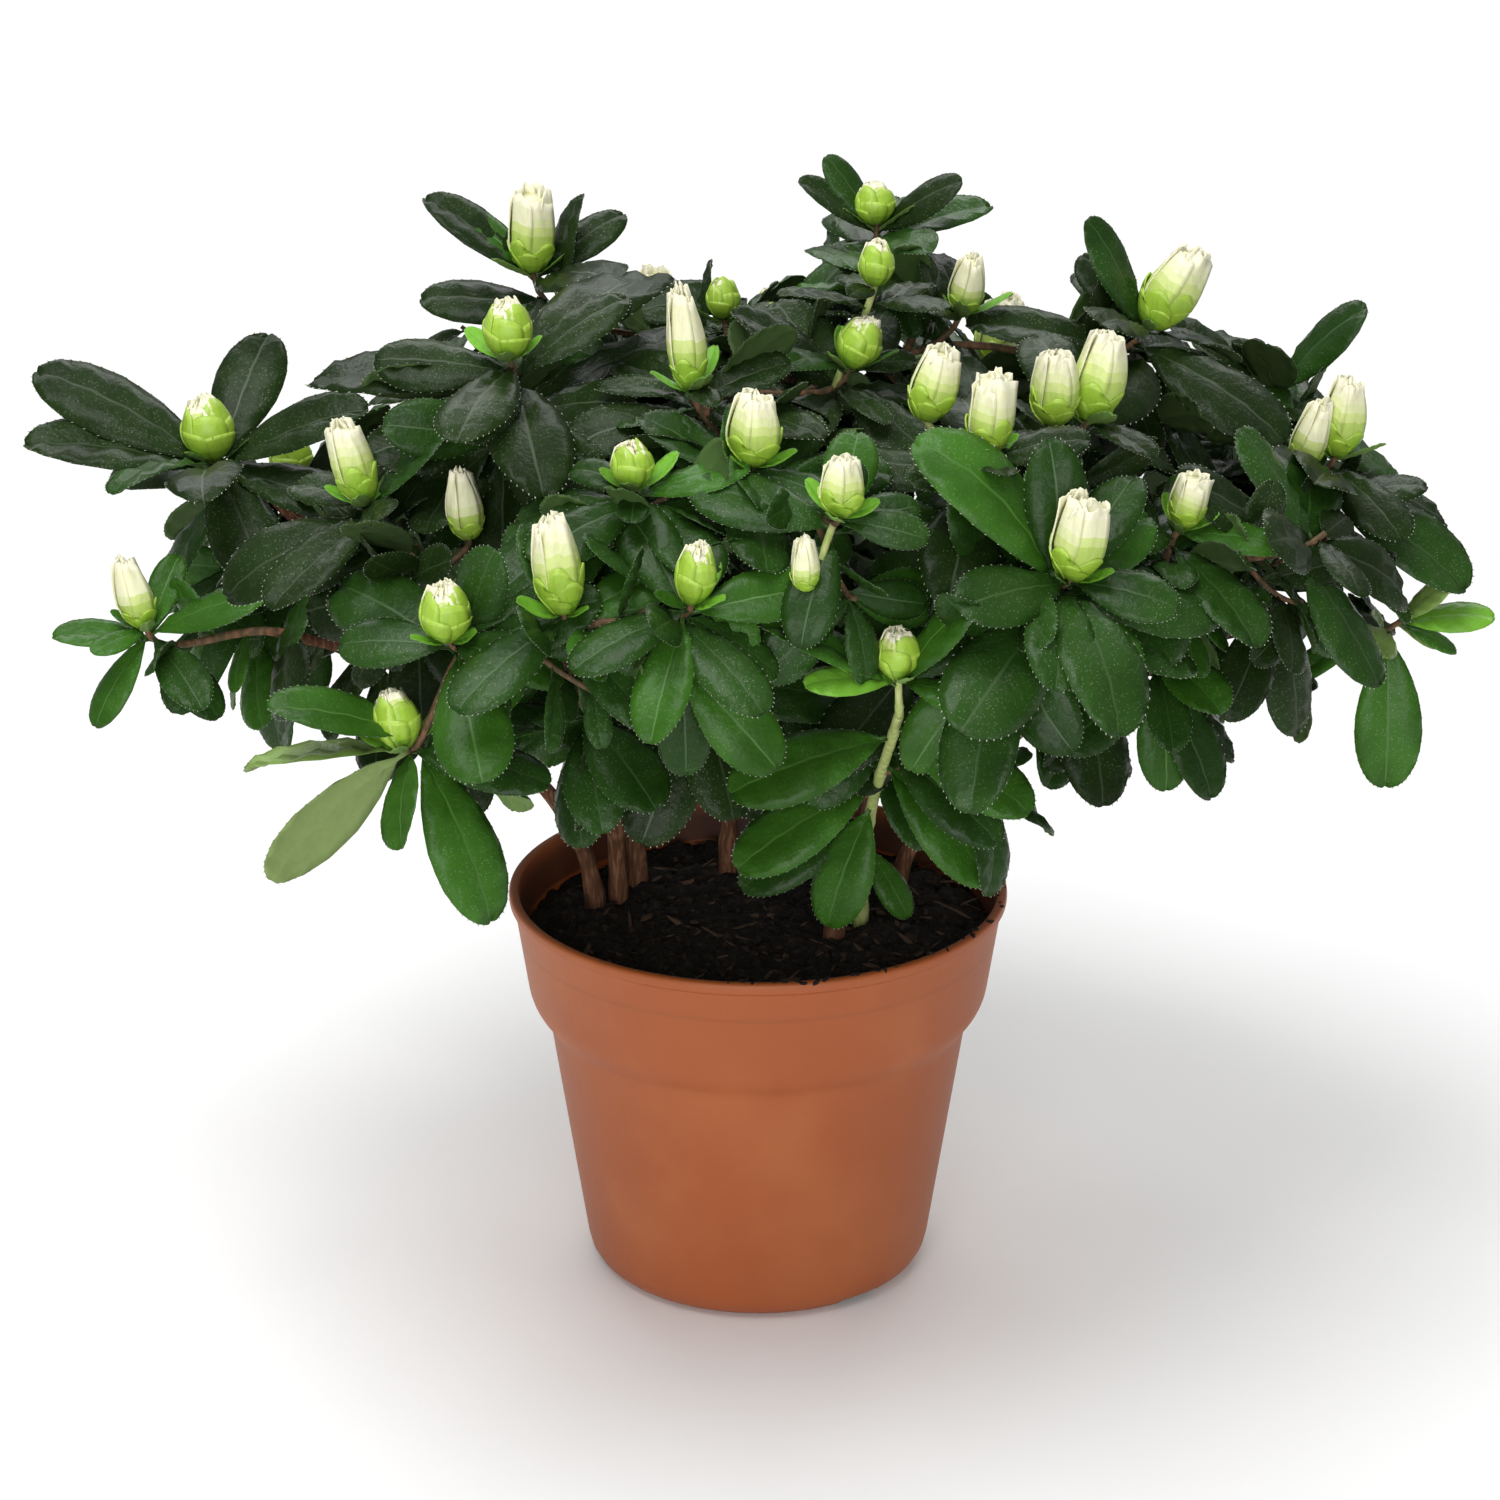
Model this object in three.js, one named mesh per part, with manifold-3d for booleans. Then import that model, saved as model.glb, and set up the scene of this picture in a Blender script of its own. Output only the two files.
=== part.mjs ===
// A young azalea shrub in its nursery pot: a thin plastic pot, the soil in it, a clump of woody
// stems, the boughs that fork from them, and the crown as separate masses of foliage.
// Millimetres, +Z up. The origin is the centre of the pot's flat underside. -Y is the front.
// A "turn" is in degrees round the pot's axis, 0 at the front and 90 at the right-hand side.
import * as THREE from "three";
import { mergeVertices } from "three/addons/utils/BufferGeometryUtils.js";
import Module from "manifold-3d";

const wasm = await Module();
wasm.setup();

// Driving sizes of the pot. It tapers to the foot, and its top band stands proud of the body.
const POT_RADIUS = 65;
const POT_HEIGHT = 105;
const WALL = 1.6;
const BASE_RADIUS = 44.3;
const BASE_ROUNDING = 6.5;
const BODY_TOP = { radius: 54.6, height: 69 };
const BAND_FOOT = { radius: 59.6, height: 77 };
const LIP = { proud: 0.9, height: 3.2 };
const POT_SIDES = 36;
const DRAIN = { count: 3, firstTurn: 39, width: 13, height: 2.8, depth: 11, holeRadius: 4 };

// The soil stops short of the rim.
const SOIL_TOP = 96;
const SOIL_EDGE_DROP = 2.5;

// Clear space between pieces that touch.
const GAP = 0.4;

// Limbs are tubes with this many sides and rings. A stem flares where it meets the soil.
const LIMB_SIDES = 6;
const LIMB_RINGS = 5;
const FLARE = { share: 0.3, height: 9 };

// The crown slopes down from its middle, and each pad of leaves leans out with that slope, by
// this many degrees for each millimetre of its reach. A pad is an uneven ball with lobes.
const CROWN_SLOPE = 0.27;
const PAD_SIDES = 12;
const PAD_RINGS = 6;
const PAD_LOBES = 5;
const PAD_LOBE_DEPTH = 0.1;
const PAD_RUFFLE = 0.06;

// Stems: where each leaves the soil and where it forks, as turn, reach and height, with its
// radius at each end.
const STEMS = {
  stem_left_front: { foot: [-103, 44, 0], fork: [-74, 82, 168], radii: [2.3, 1.7] },
  stem_left_middle: { foot: [-115, 41, 0], fork: [-50, 54, 186], radii: [2.2, 1.65] },
  stem_left_back: { foot: [-130, 42, 0], fork: [-132, 66, 186], radii: [2.3, 1.7] },
  stem_back: { foot: [-166, 34, 0], fork: [172, 58, 194], radii: [2.2, 1.65] },
  stem_right_front: { foot: [55, 24, 0], fork: [40, 58, 184], radii: [2.3, 1.7] },
  stem_right_middle: { foot: [100, 36, 0], fork: [82, 84, 168], radii: [2.2, 1.65] },
  stem_right_back: { foot: [134, 34, 0], fork: [124, 62, 186], radii: [2.3, 1.7] },
  stem_front_shoot: { foot: [82, 27, 0], fork: [18, 106, 190], radii: [1.6, 1.2] },
};

// Boughs: the stem each forks from, and the mass of leaves it runs into.
const BOUGHS = {
  bough_left_arm: { from: "stem_left_front", into: "mass_left_arm" },
  bough_left_low: { from: "stem_left_front", into: "mass_far_left_low" },
  bough_left_front: { from: "stem_left_middle", into: "mass_left_low" },
  bough_left_top: { from: "stem_left_middle", into: "mass_upper_left" },
  bough_back_left: { from: "stem_left_back", into: "mass_back_left_mid" },
  bough_back: { from: "stem_back", into: "mass_back_mid" },
  bough_front_right: { from: "stem_right_front", into: "mass_front_right" },
  bough_right_arm: { from: "stem_right_middle", into: "mass_far_right" },
  bough_right_low: { from: "stem_right_middle", into: "mass_low_right" },
  bough_back_right: { from: "stem_right_back", into: "mass_back_right_mid" },
};
const BOUGH_RADII = [1.8, 1.2];
const BOUGH_ARCH = 10;

// Masses of foliage: the place of each as turn, reach and height, its size outwards, across and
// through its thickness, and its lean in degrees where it doesn't follow the crown's slope.
const MASSES = {
  mass_left_arm: { at: [-91, 146, 230], size: [90, 62, 32], lean: -8 },
  mass_left_front: { at: [-55, 112, 230], size: [58, 58, 38] },
  mass_upper_left: { at: [-54, 76, 256], size: [66, 78, 36] },
  mass_top_left: { at: [-102, 64, 268], size: [84, 80, 32], lean: 10 },
  mass_crown_left: { at: [-14, 66, 260], size: [54, 58, 34] },
  mass_front_bud_left: { at: [-17, 99, 238], size: [46, 50, 36] },
  mass_front_bud: { at: [3, 92, 248], size: [42, 44, 36] },
  mass_crown_middle: { at: [30, 48, 268], size: [62, 62, 34] },
  mass_top_peak: { at: [128, 34, 273], size: [60, 64, 34] },
  mass_crown_centre: { at: [-128, 12, 260], size: [66, 66, 34] },
  mass_right_high: { at: [53, 94, 250], size: [48, 54, 36] },
  mass_front_right_high: { at: [29, 90, 250], size: [44, 46, 36] },
  mass_top_right: { at: [90, 98, 258], size: [62, 70, 32] },
  mass_crown_back: { at: [92, 58, 262], size: [52, 60, 34] },
  mass_right_bud: { at: [92, 138, 228], size: [50, 58, 36] },
  mass_right_mid: { at: [61, 124, 226], size: [48, 56, 38] },
  mass_front_right: { at: [33, 124, 222], size: [60, 68, 40] },
  mass_front_centre: { at: [8, 112, 232], size: [46, 46, 38] },
  mass_front_shoot: { at: [18, 112, 199], size: [60, 74, 46] },
  mass_front_left: { at: [-21, 124, 222], size: [50, 52, 40] },
  mass_front_mid: { at: [-7, 122, 222], size: [44, 46, 40] },
  mass_left_low: { at: [-33, 134, 208], size: [54, 60, 40] },
  mass_far_left_low: { at: [-76, 154, 190], size: [64, 56, 38], lean: 12 },
  mass_low_left: { at: [-40, 140, 178], size: [52, 66, 44] },
  mass_far_right: { at: [88, 161, 178], size: [58, 46, 52], lean: 0 },
  mass_right_outer: { at: [73, 152, 208], size: [54, 62, 42] },
  mass_low_right: { at: [62, 112, 180], size: [54, 54, 50] },
  mass_skirt_right: { at: [42, 82, 160], size: [44, 48, 46] },
  mass_skirt_left: { at: [-34, 80, 172], size: [50, 54, 46] },
  mass_back_right_top: { at: [104, 136, 240], size: [56, 64, 34] },
  mass_back_left_top: { at: [-136, 98, 244], size: [70, 84, 36] },
  mass_back_top: { at: [176, 84, 246], size: [72, 78, 36] },
  mass_back_right_high: { at: [140, 92, 246], size: [66, 74, 36] },
  mass_back_left_mid: { at: [-113, 138, 212], size: [60, 66, 42] },
  mass_back_mid: { at: [-166, 136, 214], size: [60, 78, 44] },
  mass_back_right_mid: { at: [150, 140, 210], size: [60, 74, 44] },
  mass_back_left_low: { at: [-140, 146, 192], size: [58, 70, 48] },
  mass_back_low: { at: [174, 146, 176], size: [54, 76, 46] },
  mass_back_right_low: { at: [122, 148, 194], size: [58, 74, 48] },
  mass_left_back_low: { at: [-101, 138, 186], size: [50, 56, 44] },
};

const COLOURS = {
  pot: { color: 0xb06a44, roughness: 0.5, metalness: 0 },
  soil: { color: 0x1e1713, roughness: 1, metalness: 0 },
  bark: { color: 0x6b4a35, roughness: 0.9, metalness: 0 },
  shoot: { color: 0x7f9a4b, roughness: 0.7, metalness: 0 },
  leaves: { color: 0x2c5a2a, roughness: 0.6, metalness: 0 },
};

const UP = new THREE.Vector3(0, 0, 1);

// The point at a turn, a reach from the axis and a height.
function place([turn, reach, height]) {
  const angle = THREE.MathUtils.degToRad(turn);
  return new THREE.Vector3(reach * Math.sin(angle), -reach * Math.cos(angle), height);
}

// A closed geometry as a solid that can be cut.
function solidOf(geometry) {
  const bare = geometry.index ? geometry.toNonIndexed() : geometry.clone();
  bare.deleteAttribute("normal");
  bare.deleteAttribute("uv");
  const merged = mergeVertices(bare, 1e-3);
  return new wasm.Manifold(
    new wasm.Mesh({
      numProp: 3,
      vertProperties: merged.getAttribute("position").array,
      triVerts: new Uint32Array(merged.index.array),
    }),
  );
}

// A solid as a geometry with flat faces.
function geometryOf(solid) {
  const { vertProperties, triVerts } = solid.getMesh();
  const shared = new THREE.BufferGeometry();
  shared.setAttribute("position", new THREE.BufferAttribute(vertProperties, 3));
  shared.setIndex(new THREE.BufferAttribute(triVerts, 1));
  const flat = shared.toNonIndexed();
  flat.computeVertexNormals();
  return flat;
}

// Cutting can leave a sliver apart from the main body. Only the largest body is kept.
function largestBody(solid) {
  return solid.decompose().reduce((a, b) => (b.volume() > a.volume() ? b : a));
}

// A lathe turns about +Y, so it is stood up to turn about +Z.
function turned(profile) {
  const points = profile.map(([radius, height]) => new THREE.Vector2(radius, height));
  return new THREE.LatheGeometry(points, POT_SIDES).rotateX(Math.PI / 2);
}

// Points of a quarter-round between the flat underside and the wall.
function baseRounding(radius, rounding, floor, steps) {
  const arc = [];
  for (let i = 0; i <= steps; i++) {
    const angle = (i / steps) * (Math.PI / 2);
    arc.push([
      radius - rounding + rounding * Math.sin(angle),
      floor + rounding * (1 - Math.cos(angle)),
    ]);
  }
  return arc;
}

// The pot's wall up one side and down the other, with notches and drain holes cut at its foot.
function makePot() {
  const outside = [
    [0, 0],
    ...baseRounding(BASE_RADIUS, BASE_ROUNDING, 0, 3),
    [BODY_TOP.radius, BODY_TOP.height],
    [BAND_FOOT.radius, BAND_FOOT.height],
    [POT_RADIUS - LIP.proud - 0.6, POT_HEIGHT - LIP.height],
    [POT_RADIUS, POT_HEIGHT - LIP.height],
    [POT_RADIUS, POT_HEIGHT],
  ];
  const inside = [
    [POT_RADIUS - WALL - LIP.proud, POT_HEIGHT],
    [BAND_FOOT.radius - WALL, BAND_FOOT.height + WALL / 2],
    [BODY_TOP.radius - WALL, BODY_TOP.height + WALL / 2],
    ...baseRounding(BASE_RADIUS - WALL, BASE_ROUNDING - WALL, WALL, 2).reverse(),
    [0, WALL],
  ];
  let pot = solidOf(turned([...outside, ...inside]));
  for (let i = 0; i < DRAIN.count; i++) {
    const turn = DRAIN.firstTurn + (i * 360) / DRAIN.count;
    const notchAt = place([turn, BASE_RADIUS - DRAIN.depth / 2 + 1, 0]);
    const notch = new THREE.BoxGeometry(DRAIN.width, DRAIN.depth, 2 * DRAIN.height)
      .rotateZ(THREE.MathUtils.degToRad(turn))
      .translate(notchAt.x, notchAt.y, 0);
    const holeAt = place([turn, BASE_RADIUS - DRAIN.depth - DRAIN.holeRadius, 0]);
    const hole = new THREE.CylinderGeometry(DRAIN.holeRadius, DRAIN.holeRadius, 4 * WALL, 12)
      .rotateX(Math.PI / 2)
      .translate(holeAt.x, holeAt.y, 0);
    pot = pot.subtract(solidOf(notch)).subtract(solidOf(hole));
  }
  return pot;
}

// The soil fills the pot up to its surface, which drops a little at the wall.
function makeSoil() {
  const wallAt = (height) => {
    const share = (height - BAND_FOOT.height) / (POT_HEIGHT - BAND_FOOT.height);
    const band = POT_RADIUS - LIP.proud - BAND_FOOT.radius;
    return BAND_FOOT.radius + share * band - WALL - GAP;
  };
  const rounding = BASE_ROUNDING - WALL - GAP;
  // Clear of the notches, whose roofs stand above the floor.
  const floor = DRAIN.height + GAP;
  return solidOf(
    turned([
      [0, floor],
      [BASE_RADIUS - WALL - rounding - GAP, floor],
      [BASE_RADIUS - WALL - GAP, floor + rounding],
      [BODY_TOP.radius - WALL - GAP, BODY_TOP.height + WALL / 2 + GAP],
      [BAND_FOOT.radius - WALL - GAP, BAND_FOOT.height + WALL / 2 + GAP],
      [wallAt(SOIL_TOP - SOIL_EDGE_DROP), SOIL_TOP - SOIL_EDGE_DROP],
      [wallAt(SOIL_TOP) - 2 * SOIL_EDGE_DROP, SOIL_TOP],
      [0, SOIL_TOP],
    ]),
  );
}

// A round tube along a curve. The radius at each share of its length comes from radiusAt.
function limbAlong(curve, radiusAt) {
  const tube = new THREE.CylinderGeometry(1, 1, 1, LIMB_SIDES, LIMB_RINGS);
  const position = tube.getAttribute("position");
  const point = new THREE.Vector3();
  const across = new THREE.Vector3();
  const side = new THREE.Vector3();
  for (let i = 0; i < position.count; i++) {
    point.fromBufferAttribute(position, i);
    const share = Math.min(Math.max(point.y + 0.5, 0), 1);
    const tangent = curve.getTangent(share);
    side.set(1, 0, 0).cross(tangent).normalize();
    across.crossVectors(tangent, side);
    const radius = radiusAt(share);
    const made = curve
      .getPoint(share)
      .addScaledVector(across, point.x * radius)
      .addScaledVector(side, point.z * radius);
    position.setXYZ(i, made.x, made.y, made.z);
  }
  return tube;
}

// A stem leaves the soil upright, flares at its foot, and bends out to its fork.
function stemCurve({ foot, fork }) {
  const start = place([foot[0], foot[1], SOIL_TOP + GAP]);
  const end = place(fork);
  const rise = end.z - start.z;
  return new THREE.CubicBezierCurve3(
    start,
    start.clone().addScaledVector(UP, rise * 0.35),
    end.clone().lerp(start, 0.3).addScaledVector(UP, rise * 0.05),
    end,
  );
}

function stemSolid(stem, grown) {
  const curve = stemCurve(stem);
  const rise = stem.fork[2] - SOIL_TOP;
  const [low, high] = stem.radii;
  return solidOf(
    limbAlong(curve, (share) => {
      const flare = 1 + FLARE.share * Math.exp((-share * rise) / FLARE.height);
      return THREE.MathUtils.lerp(low, high, share) * flare + grown;
    }),
  );
}

// A bough starts at its stem's fork and arches over into the middle of its mass.
function boughSolid(bough, grown) {
  const start = place(STEMS[bough.from].fork);
  const end = place(MASSES[bough.into].at);
  const middle = start.clone().lerp(end, 0.5).addScaledVector(UP, BOUGH_ARCH);
  const curve = new THREE.QuadraticBezierCurve3(start, middle, end);
  const [low, high] = BOUGH_RADII;
  return solidOf(
    limbAlong(curve, (share) => THREE.MathUtils.lerp(low, high, share) + grown),
  );
}

// One pad of leaves: a flattened ball with leafy lobes round it, leaning out with the crown.
function massSolid({ at, size, lean = CROWN_SLOPE * at[1] }, number, grown) {
  const pad = new THREE.SphereGeometry(1, PAD_SIDES, PAD_RINGS).rotateX(Math.PI / 2);
  const position = pad.getAttribute("position");
  const point = new THREE.Vector3();
  for (let i = 0; i < position.count; i++) {
    point.fromBufferAttribute(position, i);
    const round = Math.atan2(point.y, point.x);
    const girth = 1 - point.z * point.z;
    const lobe = PAD_LOBE_DEPTH * Math.sin(PAD_LOBES * round + number) * girth;
    const ruffle = PAD_RUFFLE * Math.sin(4 * point.z + 3 * point.x - 2 * point.y + 2 * number);
    point.multiplyScalar(1 + lobe + ruffle);
    position.setXYZ(
      i,
      point.x * (size[0] / 2 + grown),
      point.y * (size[1] / 2 + grown),
      point.z * (size[2] / 2 + grown),
    );
  }
  const centre = place(at);
  return solidOf(
    pad
      .rotateY(THREE.MathUtils.degToRad(lean))
      .rotateZ(THREE.MathUtils.degToRad(at[0] - 90))
      .translate(centre.x, centre.y, centre.z),
  );
}

// Two masses that meet are parted by a flat cut between them, nearer the smaller one.
function partMasses(solids) {
  const names = Object.keys(solids);
  const radius = (name) => MASSES[name].size.reduce((a, b) => a + b) / 6;
  names.forEach((a, i) =>
    names.slice(i + 1).forEach((b) => {
      if (solids[a].intersect(solids[b]).isEmpty()) return;
      const from = place(MASSES[a].at);
      const to = place(MASSES[b].at);
      const share = radius(a) / (radius(a) + radius(b));
      const normal = from.clone().sub(to).normalize();
      const offset = from.clone().lerp(to, share).dot(normal);
      solids[a] = solids[a].trimByPlane(normal.toArray(), offset + GAP / 2);
      solids[b] = solids[b].trimByPlane(normal.clone().negate().toArray(), GAP / 2 - offset);
    }),
  );
}

const plant = new THREE.Group();

function addPiece(name, solid, colour) {
  const piece = new THREE.Mesh(geometryOf(solid), new THREE.MeshStandardMaterial(COLOURS[colour]));
  piece.name = name;
  plant.add(piece);
}

addPiece("pot", makePot(), "pot");
addPiece("soil", makeSoil(), "soil");

const masses = {};
Object.entries(MASSES).forEach(([name, mass], number) => {
  masses[name] = massSolid(mass, number, 0);
});
partMasses(masses);

// Each limb is cut clear of the limbs before it. A bough stops where it enters its own mass,
// and every other mass is cut clear of it.
const limbs = {
  ...Object.fromEntries(Object.keys(STEMS).map((name) => [name, { ...STEMS[name], make: stemSolid }])),
  ...Object.fromEntries(Object.keys(BOUGHS).map((name) => [name, { ...BOUGHS[name], make: boughSolid }])),
};
const grownLimbs = [];
Object.entries(limbs).forEach(([name, limb]) => {
  let solid = limb.make(limb, 0);
  grownLimbs.forEach((other) => {
    solid = solid.subtract(other);
  });
  if (limb.into) {
    const number = Object.keys(MASSES).indexOf(limb.into);
    solid = solid.subtract(massSolid(MASSES[limb.into], number, GAP));
  }
  grownLimbs.push(limb.make(limb, GAP));
  const grown = grownLimbs.at(-1);
  Object.keys(masses).forEach((mass) => {
    if (mass !== limb.into) masses[mass] = masses[mass].subtract(grown);
  });
  addPiece(name, largestBody(solid), name === "stem_front_shoot" ? "shoot" : "bark");
});

Object.entries(masses).forEach(([name, solid]) => addPiece(name, largestBody(solid), "leaves"));

export default plant;
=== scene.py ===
"""The looks of a young azalea in bud, in its nursery pot. Metres, +Z up, -Y the front."""

import math
from collections import namedtuple

import bmesh
import bpy
import numpy as np
from mathutils import Matrix, Vector, noise


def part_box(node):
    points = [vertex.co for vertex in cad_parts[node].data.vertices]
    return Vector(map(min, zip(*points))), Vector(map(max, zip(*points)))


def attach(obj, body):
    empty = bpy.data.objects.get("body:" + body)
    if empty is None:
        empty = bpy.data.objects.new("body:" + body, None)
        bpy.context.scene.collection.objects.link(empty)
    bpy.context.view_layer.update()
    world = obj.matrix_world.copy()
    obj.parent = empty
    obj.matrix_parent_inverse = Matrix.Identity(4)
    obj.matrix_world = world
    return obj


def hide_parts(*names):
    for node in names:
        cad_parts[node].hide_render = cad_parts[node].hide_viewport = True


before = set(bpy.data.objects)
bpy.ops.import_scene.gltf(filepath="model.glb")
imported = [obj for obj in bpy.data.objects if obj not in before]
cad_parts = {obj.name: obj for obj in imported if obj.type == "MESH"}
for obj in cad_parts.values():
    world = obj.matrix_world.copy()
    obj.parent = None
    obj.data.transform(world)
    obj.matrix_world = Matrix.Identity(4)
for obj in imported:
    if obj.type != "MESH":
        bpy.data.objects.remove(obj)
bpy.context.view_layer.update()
MM = 0.001

# --- The pot ---------------------------------------------------------------------------------
# A thin nursery pot, injection moulded in terracotta-coloured plastic with a satin skin. Its top
# band stands proud of the tapered body, its lip is rolled, and water leaves by three notches and
# three holes at the foot.
POT_TURNS = 168
POT_OUTSIDE = [  # radius, height and corner rounding, in millimetres
    (0, 0, 0),
    (44.3, 0, 7.5),
    (54.9, 69.6, 2.4),
    (59.6, 74.8, 4.2),
    (63.7, 101.6, 0.7),
    (64.9, 102.0, 0.8),
    (65.0, 105.0, 1.3),
]
POT_INSIDE = [
    (62.5, 105.0, 1.0),
    (57.9, 77.5, 3.0),
    (53.1, 71.0, 2.5),
    (42.7, 1.6, 5.5),
    (0, 1.6, 0),
]
DRAIN_TURNS = [39, 159, 279]
NOTCH = (13, 11, 5.6)  # width, depth and height, half of it below the floor
DRAIN_HOLE = (4, 29.3)  # radius, and distance from the axis
DRILL_TURNS = 24
CORNER_STEPS = 6
POT_CREASE = 50  # degrees between two faces past which their edge is left sharp
TERRACOTTA = (0.335, 0.082, 0.0190)
TERRACOTTA_WORN = (0.385, 0.110, 0.0310)
TERRACOTTA_DEEP = (0.265, 0.061, 0.0150)
# Painted shade: a dark brown laid on the inside of the wall above the soil.
INSIDE_SHADE = (0.030, 0.0125, 0.0070)
# Where the painted shade on the inside of the wall lies: how far from the axis, from what height
# up, and where it pales.
SHADE_WITHIN = (61.9 * MM, 62.7 * MM)
SHADE_ABOVE = (93 * MM, 94 * MM)
SHADE_PALES = (99 * MM, 105.5 * MM)


class Reading:
    """A number that changes over a surface. Sums written with it add Math nodes."""

    def __init__(self, finish, socket):
        self.finish, self.socket = finish, socket

    def _math(self, operation, *numbers):
        return self.finish.node(
            "ShaderNodeMath", {"operation": operation}, dict(enumerate(numbers))
        )

    def __add__(self, other):
        return self._math("ADD", self, other)

    def __sub__(self, other):
        return self._math("SUBTRACT", self, other)

    def __rsub__(self, other):
        return self._math("SUBTRACT", other, self)

    def __mul__(self, other):
        return self._math("MULTIPLY", self, other)

    __radd__, __rmul__ = __add__, __mul__

    def above(self, low, high):
        """0 below low, 1 above high, and smooth between."""
        return self.finish.node(
            "ShaderNodeMapRange",
            {"interpolation_type": "SMOOTHSTEP"},
            {0: self, 1: low, 2: high, 3: 0.0, 4: 1.0},
        )


class Finish:
    """A surface finish: a material with one Principled shader, and what feeds it."""

    def __init__(self, name, **sockets):
        self.material = bpy.data.materials.new(name)
        self.material.use_nodes = True
        self.tree = self.material.node_tree
        self.shader = self.tree.nodes["Principled BSDF"]
        for socket, value in sockets.items():
            self.set(socket.replace("_", " "), value)

    def set(self, socket, value):
        target = self.shader.inputs[socket]
        if isinstance(value, Reading):
            self.tree.links.new(value.socket, target)
        else:
            target.default_value = (*value, 1.0) if isinstance(value, tuple) else value

    def node(self, kind, settings=None, inputs=None, output=0):
        """Adds a node, sets it, then fills or links its inputs, by name or place."""
        made = self.tree.nodes.new(kind)
        for key, value in (settings or {}).items():
            setattr(made, key, value)
        for key, value in (inputs or {}).items():
            if isinstance(value, Reading):
                self.tree.links.new(value.socket, made.inputs[key])
            else:
                made.inputs[key].default_value = value
        return Reading(self, made.outputs[output])

    def place(self, stretch=(1, 1, 1)):
        """Where a point is on the object, in metres, stretched along each axis."""
        here = self.node("ShaderNodeTexCoord", output="Object")
        return self.node("ShaderNodeMapping", None, {"Vector": here, "Scale": stretch})

    def from_axis(self):
        """Distance from the pot's axis, in metres."""
        flat = self.place((1, 1, 0))
        return self.node(
            "ShaderNodeVectorMath", {"operation": "LENGTH"}, {0: flat}, output="Value"
        )

    def height(self):
        return self.node("ShaderNodeSeparateXYZ", None, {0: self.place()}, output="Z")

    def mottle(self, per_metre, detail=3.0, stretch=(1, 1, 1)):
        """Soft random patches, from 0 to 1, about so many to the metre."""
        return self.node(
            "ShaderNodeTexNoise",
            None,
            {"Vector": self.place(stretch), "Scale": per_metre, "Detail": detail},
        )

    def specks(self, per_metre):
        """Distance from the nearest of many scattered dots."""
        return self.node(
            "ShaderNodeTexVoronoi", None, {"Vector": self.place(), "Scale": per_metre}
        )

    def blend(self, share, first, second):
        """A colour between two others."""
        a, b = (c if isinstance(c, Reading) else (*c, 1.0) for c in (first, second))
        return self.node(
            "ShaderNodeMix", {"data_type": "RGBA"}, {0: share, 6: a, 7: b}, output=2
        )

    def relief(self, height, strength, depth):
        """A bump of that depth in metres."""
        bump = self.node(
            "ShaderNodeBump", None, {"Height": height, "Strength": strength, "Distance": depth}
        )
        self.set("Normal", bump)
        return self


def rounded(corners):
    """A profile with each corner eased by its rounding."""
    eased = []
    for i, (radius, height, rounding) in enumerate(corners):
        corner = Vector((radius, height))
        if not rounding:
            eased.append(corner)
            continue
        before = Vector(corners[i - 1][:2]) if i else corner
        after = Vector(corners[i + 1][:2]) if i + 1 < len(corners) else corner
        start = corner + (before - corner).normalized() * rounding
        end = corner + (after - corner).normalized() * rounding
        for step in np.linspace(0, 1, CORNER_STEPS):
            eased.append(start.lerp(corner, step).lerp(corner.lerp(end, step), step))
    return eased


def in_scene(name, data):
    """A new object, made of a mesh, a lamp or a camera."""
    made = bpy.data.objects.new(name, data)
    bpy.context.scene.collection.objects.link(made)
    return made


def mesh_piece(name, points, faces, smooth=True):
    mesh = bpy.data.meshes.new(name)
    mesh.from_pydata([tuple(p) for p in points], [], [tuple(f) for f in faces])
    mesh.polygons.foreach_set("use_smooth", [smooth] * len(mesh.polygons))
    return in_scene(name, mesh)


def lathe(name, profile, turns):
    """A profile of radius and height, in millimetres, turned about the pot's axis."""
    points, faces, rings = [], [], []
    for radius, height in profile:
        if radius == 0:
            rings.append([len(points)] * turns)
            points.append((0, 0, height * MM))
            continue
        rings.append(list(range(len(points), len(points) + turns)))
        for angle in np.arange(turns) * 2 * math.pi / turns:
            points.append(
                (radius * MM * math.cos(angle), radius * MM * math.sin(angle), height * MM)
            )
    for low, high in zip(rings, rings[1:]):
        for i in range(turns):
            j = (i + 1) % turns
            face = dict.fromkeys((low[i], low[j], high[j], high[i]))
            if len(face) > 2:
                faces.append(tuple(face))
    return mesh_piece(name, points, faces)


def applied(piece):
    """The piece as a plain mesh, with its modifiers done."""
    evaluated = piece.evaluated_get(bpy.context.evaluated_depsgraph_get())
    mesh = bpy.data.meshes.new_from_object(evaluated)
    name = piece.name
    bpy.data.objects.remove(piece)
    return in_scene(name, mesh)


def cut(piece, cutter):
    tool = piece.modifiers.new("cut", "BOOLEAN")
    tool.object = cutter
    tool.solver = "EXACT"


def box_piece(name, size, turn, reach):
    """A block at a turn and a reach from the axis, half of it below the floor."""
    x, y, z = (s * MM / 2 for s in size)
    corners = [(a * x, b * y, c * z) for a in (-1, 1) for b in (-1, 1) for c in (-1, 1)]
    faces = [(0, 1, 3, 2), (4, 6, 7, 5), (0, 4, 5, 1), (2, 3, 7, 6), (0, 2, 6, 4), (1, 5, 7, 3)]
    spin = Matrix.Rotation(math.radians(turn), 4, "Z")
    shift = spin @ Matrix.Translation((0, -reach * MM, 0))
    return mesh_piece(name, [shift @ Vector(c) for c in corners], faces, smooth=False)


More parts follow.
